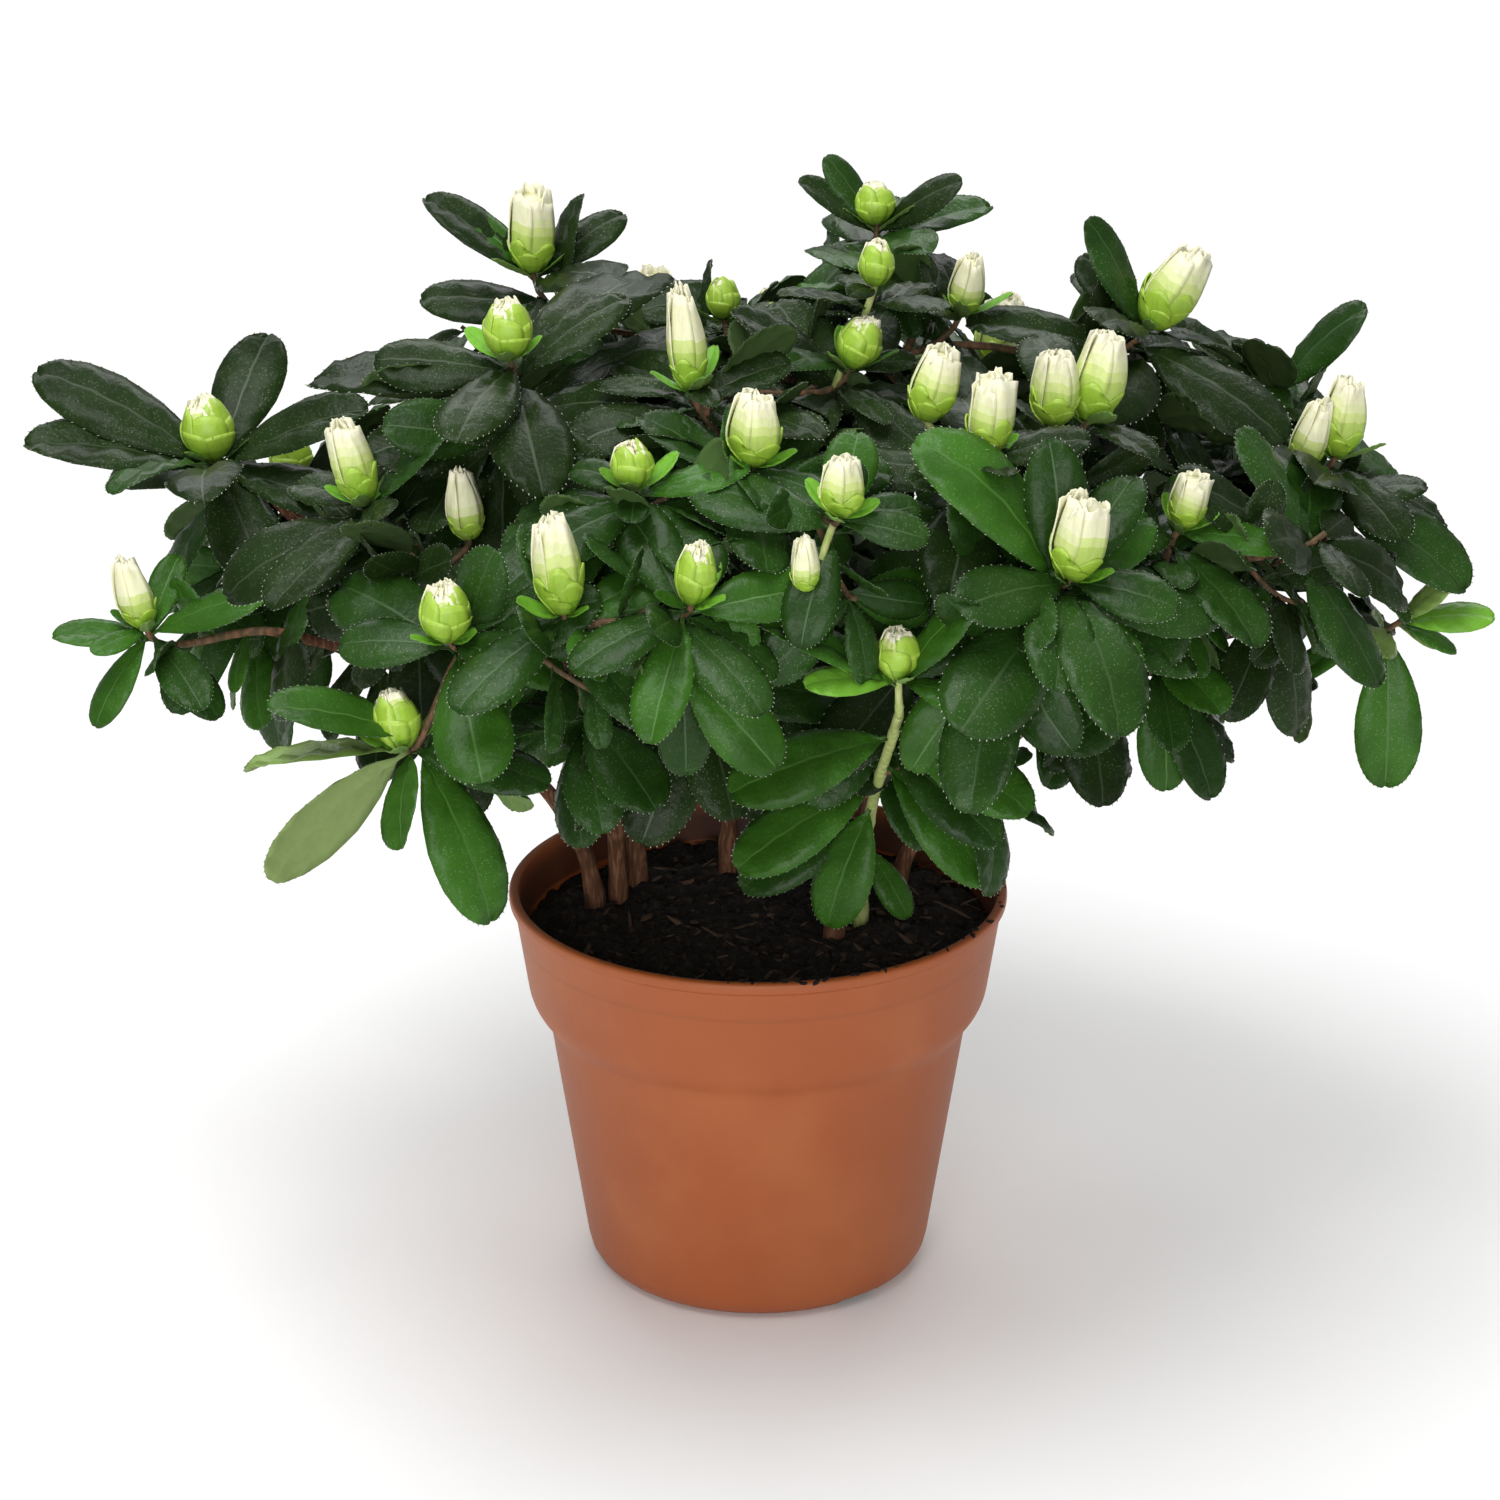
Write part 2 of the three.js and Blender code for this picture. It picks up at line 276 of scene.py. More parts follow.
pot = lathe("pot_shell", rounded(POT_OUTSIDE + POT_INSIDE), POT_TURNS)
hole_radius, hole_reach = DRAIN_HOLE
cutters = []
for turn in DRAIN_TURNS:
    cutters.append(box_piece("notch", NOTCH, turn, POT_OUTSIDE[1][0] - NOTCH[1] / 2 + 1))
    drill = lathe("drill", [(0, -4), (hole_radius, -4), (hole_radius, 4), (0, 4)], DRILL_TURNS)
    drill.data.transform(
        Matrix.Rotation(math.radians(turn), 4, "Z") @ Matrix.Translation((0, -hole_reach * MM, 0))
    )
    cutters.append(drill)
for cutter in cutters:
    cut(pot, cutter)
pot = applied(pot)
for cutter in cutters:
    bpy.data.objects.remove(cutter)
for polygon in pot.data.polygons:
    polygon.use_smooth = True
pot.data.set_sharp_from_angle(angle=math.radians(POT_CREASE))

terracotta = Finish("terracotta_plastic", Roughness=0.5, Specular_IOR_Level=0.4)
cloud = terracotta.mottle(28, 4.0)
grime = terracotta.mottle(9, 5.0, (1, 1, 0.5))
grain = terracotta.mottle(900, 2.0)
tone = terracotta.blend(cloud.above(0.4, 0.72), TERRACOTTA, TERRACOTTA_WORN)
tone = terracotta.blend(grime.above(0.5, 0.8) * 0.55, tone, TERRACOTTA_DEEP)
# Painted shade: the inside of the wall above the soil is darkened, most of all low down, where the
# rim and the crown shade it.
inside_shade = 1 - terracotta.from_axis().above(*SHADE_WITHIN)
inside_shade = inside_shade * terracotta.height().above(*SHADE_ABOVE)
inside_shade = inside_shade * (0.55 + grime * 0.6) * (1 - terracotta.height().above(*SHADE_PALES) * 0.6)
terracotta.set("Base Color", terracotta.blend(inside_shade, tone, INSIDE_SHADE))
terracotta.set("Roughness", 0.4 + cloud * 0.14 + grain * 0.08)
terracotta.relief(grain * 0.5 + cloud, 0.25, 0.0003)
pot.data.materials.clear()
pot.data.materials.append(terracotta.material)
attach(pot, "root")
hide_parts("pot")

# --- The soil --------------------------------------------------------------------------------
# Dark, moist peat mix with bark fibres in it, pressed round the root ball by hand. It lies a
# little below the rim, heaped towards the right, with crumbs left on the rim.
SOIL_RINGS, SOIL_TURNS = 46, 150
SOIL_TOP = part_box("soil")[1][2]
SOIL_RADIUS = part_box("soil")[1][0] - 0.0002
SOIL_FOOT_RADIUS = 50 * MM
SOIL_DEPTH = 30 * MM
SOIL_LUMPS = 130  # to a metre
SOIL_ROUGHNESS = 2.6 * MM
SOIL_SLACK = 2.0 * MM  # how far its level lies below the top of its solid
HEAP_MIDDLE = (45 * MM, -12 * MM)
HEAP_SPREAD = (30 * MM, 45 * MM)
HEAP_HEIGHT = 4.0 * MM
EDGE_DIP = 1.5 * MM
CRUMBS = 900
CRUMB_SIZES = (0.8 * MM, 2.4 * MM)
FIBRES = 110
FIBRE_SIZES = (0.9 * MM, 1.9 * MM)
RIM_CRUMBS = 34
RIM_CRUMB_SIZES = (0.4 * MM, 1.2 * MM)
RIM_REACH = (62.4, 64.6)  # the flat of the rim, in millimetres from the axis
RIM_TURNS = (-100, 12)  # the stretch of it that crumbs lie on, in degrees
RIM_STEPS = 40
CLOD_UNEVENNESS = 0.45
PEAT = (0.010, 0.007, 0.0055)
PEAT_DRY = (0.045, 0.028, 0.018)
FIBRE = (0.10, 0.048, 0.024)


def soil_height(x, y):
    """How far the soil stands above its level at a point: lumps, and a heap to the right."""
    lumps = noise.fractal(Vector((x * SOIL_LUMPS, y * SOIL_LUMPS, 3.7)), 1.0, 2.1, 4)
    across = (x - HEAP_MIDDLE[0]) / HEAP_SPREAD[0]
    inward = (y - HEAP_MIDDLE[1]) / HEAP_SPREAD[1]
    heap = math.exp(-(across**2) - inward**2)
    edge = (math.hypot(x, y) / SOIL_RADIUS) ** 8
    return SOIL_ROUGHNESS * lumps + HEAP_HEIGHT * heap - EDGE_DIP * edge - SOIL_SLACK


soil_angles = np.arange(SOIL_TURNS) * 2 * math.pi / SOIL_TURNS
soil_points = [(0, 0, SOIL_TOP + soil_height(0, 0))]
for ring in range(1, SOIL_RINGS + 1):
    reach = SOIL_RADIUS * ring / SOIL_RINGS
    for angle in soil_angles:
        x, y = reach * math.cos(angle), reach * math.sin(angle)
        soil_points.append((x, y, SOIL_TOP + soil_height(x, y)))
foot_ring = len(soil_points)
for angle in soil_angles:
    x, y = SOIL_FOOT_RADIUS * math.cos(angle), SOIL_FOOT_RADIUS * math.sin(angle)
    soil_points.append((x, y, SOIL_TOP - SOIL_DEPTH))
soil_faces = []
for i in range(SOIL_TURNS):
    j = (i + 1) % SOIL_TURNS
    soil_faces.append((0, 1 + i, 1 + j))
    for ring in range(SOIL_RINGS):
        low, high = 1 + ring * SOIL_TURNS, 1 + (ring + 1) * SOIL_TURNS
        soil_faces.append((low + i, high + i, high + j, low + j))
soil_faces.append(tuple(foot_ring + i for i in reversed(range(SOIL_TURNS))))
soil = mesh_piece("soil_surface", soil_points, soil_faces)

peat = Finish("moist_peat", Roughness=0.9, Specular_IOR_Level=0.3)
clods = peat.mottle(420, 5.0)
peat.set("Base Color", peat.blend(clods.above(0.5, 0.75), PEAT, PEAT_DRY))
peat.relief(clods, 1.0, 0.002)
soil.data.materials.append(peat.material)
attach(soil, "root")
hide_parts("soil")


class Recipe:
    """A Geometry Nodes tree, with named inputs, that makes a piece from a base mesh."""

    def __init__(self, name):
        self.tree = bpy.data.node_groups.new(name, "GeometryNodeTree")
        self.tree.interface.new_socket(
            "Base", in_out="INPUT", socket_type="NodeSocketGeometry"
        )
        self.tree.interface.new_socket(
            "Made", in_out="OUTPUT", socket_type="NodeSocketGeometry"
        )
        self.given = self.tree.nodes.new("NodeGroupInput")
        self.values = {}

    def input(self, name, kind, value):
        """A named input of the tree, and the value that the piece gives it."""
        item = self.tree.interface.new_socket(name, in_out="INPUT", socket_type=kind)
        self.values[item.identifier] = value
        return self.given.outputs[name]

    def node(self, kind, settings=None, inputs=None, output=0):
        made = self.tree.nodes.new(kind)
        for key, value in (settings or {}).items():
            setattr(made, key, value)
        for key, value in (inputs or {}).items():
            if isinstance(value, bpy.types.NodeSocket):
                self.tree.links.new(value, made.inputs[key])
            else:
                made.inputs[key].default_value = value
        return made.outputs[output]

    def attribute(self, name, data_type):
        return self.node(
            "GeometryNodeInputNamedAttribute", {"data_type": data_type}, {"Name": name}
        )

    def placed(self, points, store, turn, size, choice=None):
        """A shape from the store on each point, by number, or each in turn."""
        shapes = self.input("Shapes", "NodeSocketCollection", store)
        sockets = {
            "Points": points,
            "Instance": self.node(
                "GeometryNodeCollectionInfo",
                None,
                {"Collection": shapes, "Separate Children": True, "Reset Children": True},
            ),
            "Pick Instance": True,
            "Rotation": self.node("FunctionNodeEulerToRotation", None, {0: turn}),
            "Scale": size,
        }
        if choice is not None:
            sockets["Instance Index"] = choice
        return self.node("GeometryNodeInstanceOnPoints", None, sockets)

    def finished(self, instances, finishes):
        """Realizes the instances and gives each numbered part of them its finish."""
        made = self.node("GeometryNodeRealizeInstances", None, {0: instances})
        for number, finish in enumerate(finishes):
            chosen = self.node(
                "FunctionNodeCompare",
                {"data_type": "INT", "operation": "EQUAL"},
                {2: self.attribute("part", "INT"), 3: number},
            )
            material = self.input(
                finish.material.name, "NodeSocketMaterial", finish.material
            )
            made = self.node(
                "GeometryNodeSetMaterial", None, {0: made, 1: chosen, 2: material}
            )
        out = self.tree.nodes.new("NodeGroupOutput")
        self.tree.links.new(made, out.inputs[0])

    def make(self, name, base_mesh):
        """Runs the tree on the base mesh and returns the piece as a plain mesh."""
        base = in_scene(name, base_mesh)
        step = base.modifiers.new("made", "NODES")
        step.node_group = self.tree
        for identifier, value in self.values.items():
            step[identifier] = value
        return applied(base)


def stock(name, shapes):
    """A store of shapes to pick from, in name order, kept out of the scene."""
    store = bpy.data.collections.new(name)
    for shape in shapes:
        bpy.context.scene.collection.objects.unlink(shape)
        store.objects.link(shape)
    return store


def number_parts(piece, parts):
    """Numbers the faces of a shape by the part that they belong to."""
    mark = piece.data.attributes.new("part", "INT", "FACE")
    mark.data.foreach_set("value", parts)


def crumb_shape(name, seed, size):
    """An uneven clod, or a fibre when it is drawn out along one axis."""
    ball = bpy.data.meshes.new(name)
    build = bmesh.new()
    bmesh.ops.create_icosphere(build, subdivisions=1, radius=1)
    for vertex in build.verts:
        swell = 1 + CLOD_UNEVENNESS * noise.noise(vertex.co * 1.7 + Vector((seed, 0, 0)))
        vertex.co = Vector(c * s * swell for c, s in zip(vertex.co, size))
    build.to_mesh(ball)
    build.free()
    piece = in_scene(name, ball)
    number_parts(piece, [0] * len(ball.polygons))
    return piece


def open_soil():
    """The top of the soil alone, clear of the pot's wall, for litter to lie on."""
    clear = 0.96 * SOIL_RADIUS
    upper = soil_faces[:-1]  # all but the flat underside
    kept = [f for f in upper if max(math.hypot(*soil_points[i][:2]) for i in f) < clear]
    mesh = bpy.data.meshes.new("open_soil")
    mesh.from_pydata(soil_points, [], kept)
    return mesh


def scattered(name, base_mesh, shapes, count_per_m2, sizes, finish, seed):
    """Shapes lying at random over a mesh."""
    recipe = Recipe(name)
    density = recipe.input("Number to a square metre", "NodeSocketFloat", count_per_m2)
    small = recipe.input("Smallest", "NodeSocketFloat", sizes[0])
    large = recipe.input("Largest", "NodeSocketFloat", sizes[1])
    seed_in = recipe.input("Seed", "NodeSocketInt", seed)
    spots = recipe.node(
        "GeometryNodeDistributePointsOnFaces",
        None,
        {"Mesh": recipe.given.outputs["Base"], "Density": density, "Seed": seed_in},
    )
    spin = recipe.node(
        "FunctionNodeRandomValue",
        {"data_type": "FLOAT_VECTOR"},
        {0: (-0.5, -0.5, 0), 1: (0.5, 0.5, 6.28), "Seed": seed_in},
    )
    size = recipe.node(
        "FunctionNodeRandomValue",
        {"data_type": "FLOAT"},
        {2: small, 3: large, "Seed": seed_in},
        output=1,
    )
    recipe.finished(recipe.placed(spots, stock(name, shapes), spin, size), [finish])
    return recipe.make(name, base_mesh)


clod_shapes = [
    crumb_shape("clod_a", 1, (1.0, 0.8, 0.6)),
    crumb_shape("clod_b", 5, (0.8, 0.6, 0.5)),
    crumb_shape("clod_c", 9, (1.3, 0.7, 0.4)),
]
soil_area = math.pi * SOIL_RADIUS**2
crumbs = scattered(
    "soil_crumbs", open_soil(), clod_shapes, CRUMBS / soil_area, CRUMB_SIZES, peat, 11
)
fibre = Finish("bark_fibre", Roughness=0.85)
fibre.set("Base Color", fibre.blend(fibre.mottle(260), PEAT_DRY, FIBRE))
fibre_shapes = [
    crumb_shape("fibre_a", 2, (4.5, 0.35, 0.25)),
    crumb_shape("fibre_b", 7, (3.0, 0.6, 0.25)),
    crumb_shape("fibre_c", 4, (1.6, 0.8, 0.3)),
]
fibres = scattered(
    "soil_fibres", open_soil(), fibre_shapes, FIBRES / soil_area, FIBRE_SIZES, fibre, 23
)


def rim_strip():
    """The top of the rim at the right and the front, where crumbs were left in potting."""
    height = (POT_OUTSIDE[-1][1] - 0.2) * MM
    points = [
        (reach * MM * math.cos(turn), reach * MM * math.sin(turn), height)
        for reach in RIM_REACH
        for turn in np.radians(np.linspace(*RIM_TURNS, RIM_STEPS))
    ]
    faces = [(i, RIM_STEPS + i, RIM_STEPS + 1 + i, i + 1) for i in range(RIM_STEPS - 1)]
    mesh = bpy.data.meshes.new("rim_strip")
    mesh.from_pydata(points, [], faces)
    return mesh


rim_clod_shapes = [
    crumb_shape("rim_clod_a", 3, (1.0, 0.8, 0.6)),
    crumb_shape("rim_clod_b", 8, (1.4, 0.7, 0.5)),
]
rim_width, rim_middle = (RIM_REACH[1] - RIM_REACH[0]) * MM, sum(RIM_REACH) / 2 * MM
rim_area = rim_width * rim_middle * math.radians(RIM_TURNS[1] - RIM_TURNS[0])
rim_crumbs = scattered(
    "rim_crumbs", rim_strip(), rim_clod_shapes, RIM_CRUMBS / rim_area, RIM_CRUMB_SIZES, peat, 5
)
for litter in (crumbs, fibres, rim_crumbs):
    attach(litter, "root")

# --- Stems and boughs ------------------------------------------------------------------------
# The clump of woody stems and the boughs that fork from them, in thin brown bark that cracks
# lengthways, with a swelling wherever an old leaf fell. Each follows its solid in the frame.
LIMB_SIDES = 14
LIMB_STEP = 1.6 * MM
SOLID_RINGS = 6  # that each limb's solid is built from
STEM_NAMES = [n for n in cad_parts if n.startswith("stem_")]
BOUGH_NAMES = [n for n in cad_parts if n.startswith("bough_")]
GREEN_STEM = "stem_front_shoot"
STEM_RADII = (2.2 * MM, 1.65 * MM)
STEM_FLARE = 0.3
STEM_FLARE_HEIGHT = 0.009
STEM_SINK = 4 * MM  # how far its foot reaches into the soil
SHOOT_RADII = (1.6 * MM, 1.2 * MM)
BOUGH_RADII = (1.8 * MM, 1.2 * MM)
BARK_DEPTH, SHOOT_DEPTH = 0.22, 0.05  # of the cracks, as a share of the radius
BARK_RIDGES = 1.6
LIMB_SCARS = 7
SCAR_SWELLING = 0.16
BARK = (0.110, 0.044, 0.021)
BARK_LIGHT = (0.230, 0.110, 0.056)
BARK_DARK = (0.038, 0.016, 0.009)
CLUMP_FOOT = np.array((0.0, 0.0, SOIL_TOP))


def corners_of(node):
    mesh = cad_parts[node].data
    flat = np.empty(len(mesh.vertices) * 3)
    mesh.vertices.foreach_get("co", flat)
    return np.unique(np.round(flat.reshape(-1, 3), 5), axis=0)


def centreline(node):
    """Points down the middle of a limb's solid, from its foot outwards."""
    corners = corners_of(node)
    middle = corners.mean(0)
    along = np.linalg.svd(corners - middle)[2][0]
    reach = (corners - middle) @ along
    near = corners[reach.argmin()]
    far = corners[reach.argmax()]
    if np.linalg.norm(near - CLUMP_FOOT) > np.linalg.norm(far - CLUMP_FOOT):
        reach = -reach
    share = (reach - reach.min()) / np.ptp(reach)
    ring = np.round(share * (SOLID_RINGS - 1)).astype(int)
    return np.array([corners[ring == r].mean(0) for r in np.unique(ring)])


def eased_path(points, count):
    """A smooth path through the points, with so many points of its own."""
    points = np.asarray(points)
    steps = np.concatenate([[0], np.cumsum(np.linalg.norm(np.diff(points, axis=0), axis=1))])
    slopes = np.gradient(points, steps, axis=0)
    at = np.linspace(0, steps[-1], count)
    low = np.clip(np.searchsorted(steps, at, side="right") - 1, 0, len(steps) - 2)
    span = (steps[low + 1] - steps[low])[:, None]
    t = ((at - steps[low])[:, None]) / span
    return (
        (2 * t**3 - 3 * t**2 + 1) * points[low]
        + (t**3 - 2 * t**2 + t) * span * slopes[low]
        + (3 * t**2 - 2 * t**3) * points[low + 1]
        + (t**3 - t**2) * span * slopes[low + 1]
    )


def tube(path, radii, sides, swell):
    """Corners and faces of a closed tube along a path. swell(share, angle) adds its relief."""
    tangents = np.gradient(path, axis=0)
    tangents /= np.linalg.norm(tangents, axis=1)[:, None]
    side = np.cross(tangents[0], (0.3, 1.0, 0.1))
    points, faces = [], []
    for i, (spot, tangent) in enumerate(zip(path, tangents)):
        side = side - tangent * (side @ tangent)
        side /= np.linalg.norm(side)
        other = np.cross(tangent, side)
        share = i / (len(path) - 1)
        for angle in np.arange(sides) * 2 * math.pi / sides:
            radius = radii[i] * (1 + swell(share, angle))
            points.append(spot + radius * (math.cos(angle) * side + math.sin(angle) * other))
    for i in range(len(path) - 1):
        for j in range(sides):
            k = (j + 1) % sides
            faces.append(
                (i * sides + j, i * sides + k, (i + 1) * sides + k, (i + 1) * sides + j)
            )
    faces.append(tuple(reversed(range(sides))))
    faces.append(tuple(len(points) - sides + j for j in range(sides)))
    return points, faces


class Bundle:
    """Meshes gathered to be joined into one piece."""

    def __init__(self):
        self.points, self.faces = [], []

    def add(self, points, faces):
        first = len(self.points)
        self.points.extend(points)
        self.faces.extend(tuple(first + i for i in face) for face in faces)


def bark_relief(seed, ridges, depth, scars):
    """Lengthways cracks and ridges, and rings of swelling at old leaf scars."""

    def swell(share, angle):
        crack = noise.noise(
            Vector((ridges * math.cos(angle), ridges * math.sin(angle), share * 9 + seed * 7))
        )
        knuckle = max(0.0, math.sin(share * scars * math.pi + seed)) ** 12
        return depth * crack + SCAR_SWELLING * knuckle

    return swell


paths = {}
for name in STEM_NAMES:
    paths[name] = centreline(name)
for name in BOUGH_NAMES:
    line = centreline(name)
    fork = min((paths[s][-1] for s in STEM_NAMES), key=lambda tip: np.linalg.norm(tip - line[0]))
    paths[name] = np.vstack([fork, line])

woody, green = Bundle(), Bundle()
skeleton = []  # place, direction and radius of every point that a twig may leave from
for seed, (name, line) in enumerate(paths.items()):
    length = np.linalg.norm(np.diff(line, axis=0), axis=1).sum()
    path = eased_path(line, max(12, int(length / LIMB_STEP)))
    share = np.linspace(0, 1, len(path))
    thick, thin = STEM_RADII if name in STEM_NAMES else BOUGH_RADII
    bundle, depth = woody, BARK_DEPTH
    if name == GREEN_STEM:
        thick, thin = SHOOT_RADII
        bundle, depth = green, SHOOT_DEPTH
        shoot_path = path
    radii = thick + (thin - thick) * share
    if name in STEM_NAMES:
        radii = radii * (1 + STEM_FLARE * np.exp(-share * length / STEM_FLARE_HEIGHT))
        path[0, 2] -= STEM_SINK
    relief = bark_relief(seed, BARK_RIDGES, depth, LIMB_SCARS)
    bundle.add(*tube(path, radii, LIMB_SIDES, relief))
    directions = np.gradient(path, axis=0)
    directions /= np.linalg.norm(directions, axis=1)[:, None]
    first = len(path) // 3 if name in STEM_NAMES else 0
    skeleton += list(zip(path[first:], directions[first:], radii[first:]))

limb_points = list(skeleton)  # without the twigs that join the skeleton later

bark = Finish("bark", Roughness=0.85, Specular_IOR_Level=0.3)
streaks = bark.mottle(900, 4.0, (1, 1, 0.14))
patches = bark.mottle(110, 3.0)
brown = bark.blend(streaks.above(0.42, 0.66), BARK, BARK_LIGHT)
bark.set("Base Color", bark.blend(patches.above(0.52, 0.7), brown, BARK_DARK))
bark.relief(streaks, 0.8, 0.0006)
stems = mesh_piece("stems_and_boughs", woody.points, woody.faces)
stems.data.materials.append(bark.material)
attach(stems, "root")
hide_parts(*[n for n in STEM_NAMES + BOUGH_NAMES if n != GREEN_STEM])

# --- The young front shoot -------------------------------------------------------------------
# One stem of this year's growth at the front of the clump, not yet woody: soft and green, with
# low ribs down it, and leaves all the way up.
SHOOT = (0.30, 0.38, 0.10)
SHOOT_PALE = (0.46, 0.50, 0.20)
sap = Finish("green_shoot", Roughness=0.6, Specular_IOR_Level=0.4)
ribs = sap.mottle(700, 3.0, (1, 1, 0.15))
sap.set("Base Color", sap.blend(ribs.above(0.4, 0.65), SHOOT, SHOOT_PALE))
sap.relief(ribs, 0.5, 0.0003)
shoot = mesh_piece("front_shoot", green.points, green.faces)
shoot.data.materials.append(sap.material)
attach(shoot, "root")
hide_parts(GREEN_STEM)

# --- Twigs -----------------------------------------------------------------------------------
# Thin brown twigs grow on from the nearest limb or older twig into every mass of foliage. Each
# carries a main spray with its buds at its tip, and smaller side sprays below it.
GROWTH_SEED = 41
TWIG_SIDES = 7
TWIG_RADII = (1.15 * MM, 0.75 * MM)
TWIG_BARK = (0.085, 0.06, 0.028)
SIDE_TAPER = 0.8
CROWN_SLOPE = 270  # degrees that a spray leans out, to each metre from the plant's middle
MOST_LEAN = 48
STRIDE = 0.38  # how far a twig keeps to its first and last heading, as a share of its length
SHORTEST_TWIG = 0.012
SIDE_REACH = 0.28  # of a side spray from the main one, as a share of its mass
SIDE_DROP = (12, 19)
GOLDEN_TURN = math.pi * (3 - math.sqrt(5))


class Spray:
    """What one mass of foliage carries, in millimetres and degrees. buds: the kind, height and
    width of each, its tilt to the right, and how far right of and above the first it stands.
    leaf: the length of its leaves. hang: how far they droop. sides: its number of side sprays.
    move: how far its tip is right of and above the middle of the mass. loose: leaves that stand
    apart, each with its turn from the front, rise, length and colour. count: how many leaves
    its whorl has, and how many come below that."""

    def __init__(
        self, leaf, colour, hang=0.0, sides=2, buds=(), lean=None, move=(0, 0), loose=(),
        count=(8, 6),
    ):
        self.leaf, self.colour, self.hang, self.sides = leaf, colour, hang, sides
        self.buds, self.lean, self.move, self.loose = buds, lean, move, loose
        self.count = count


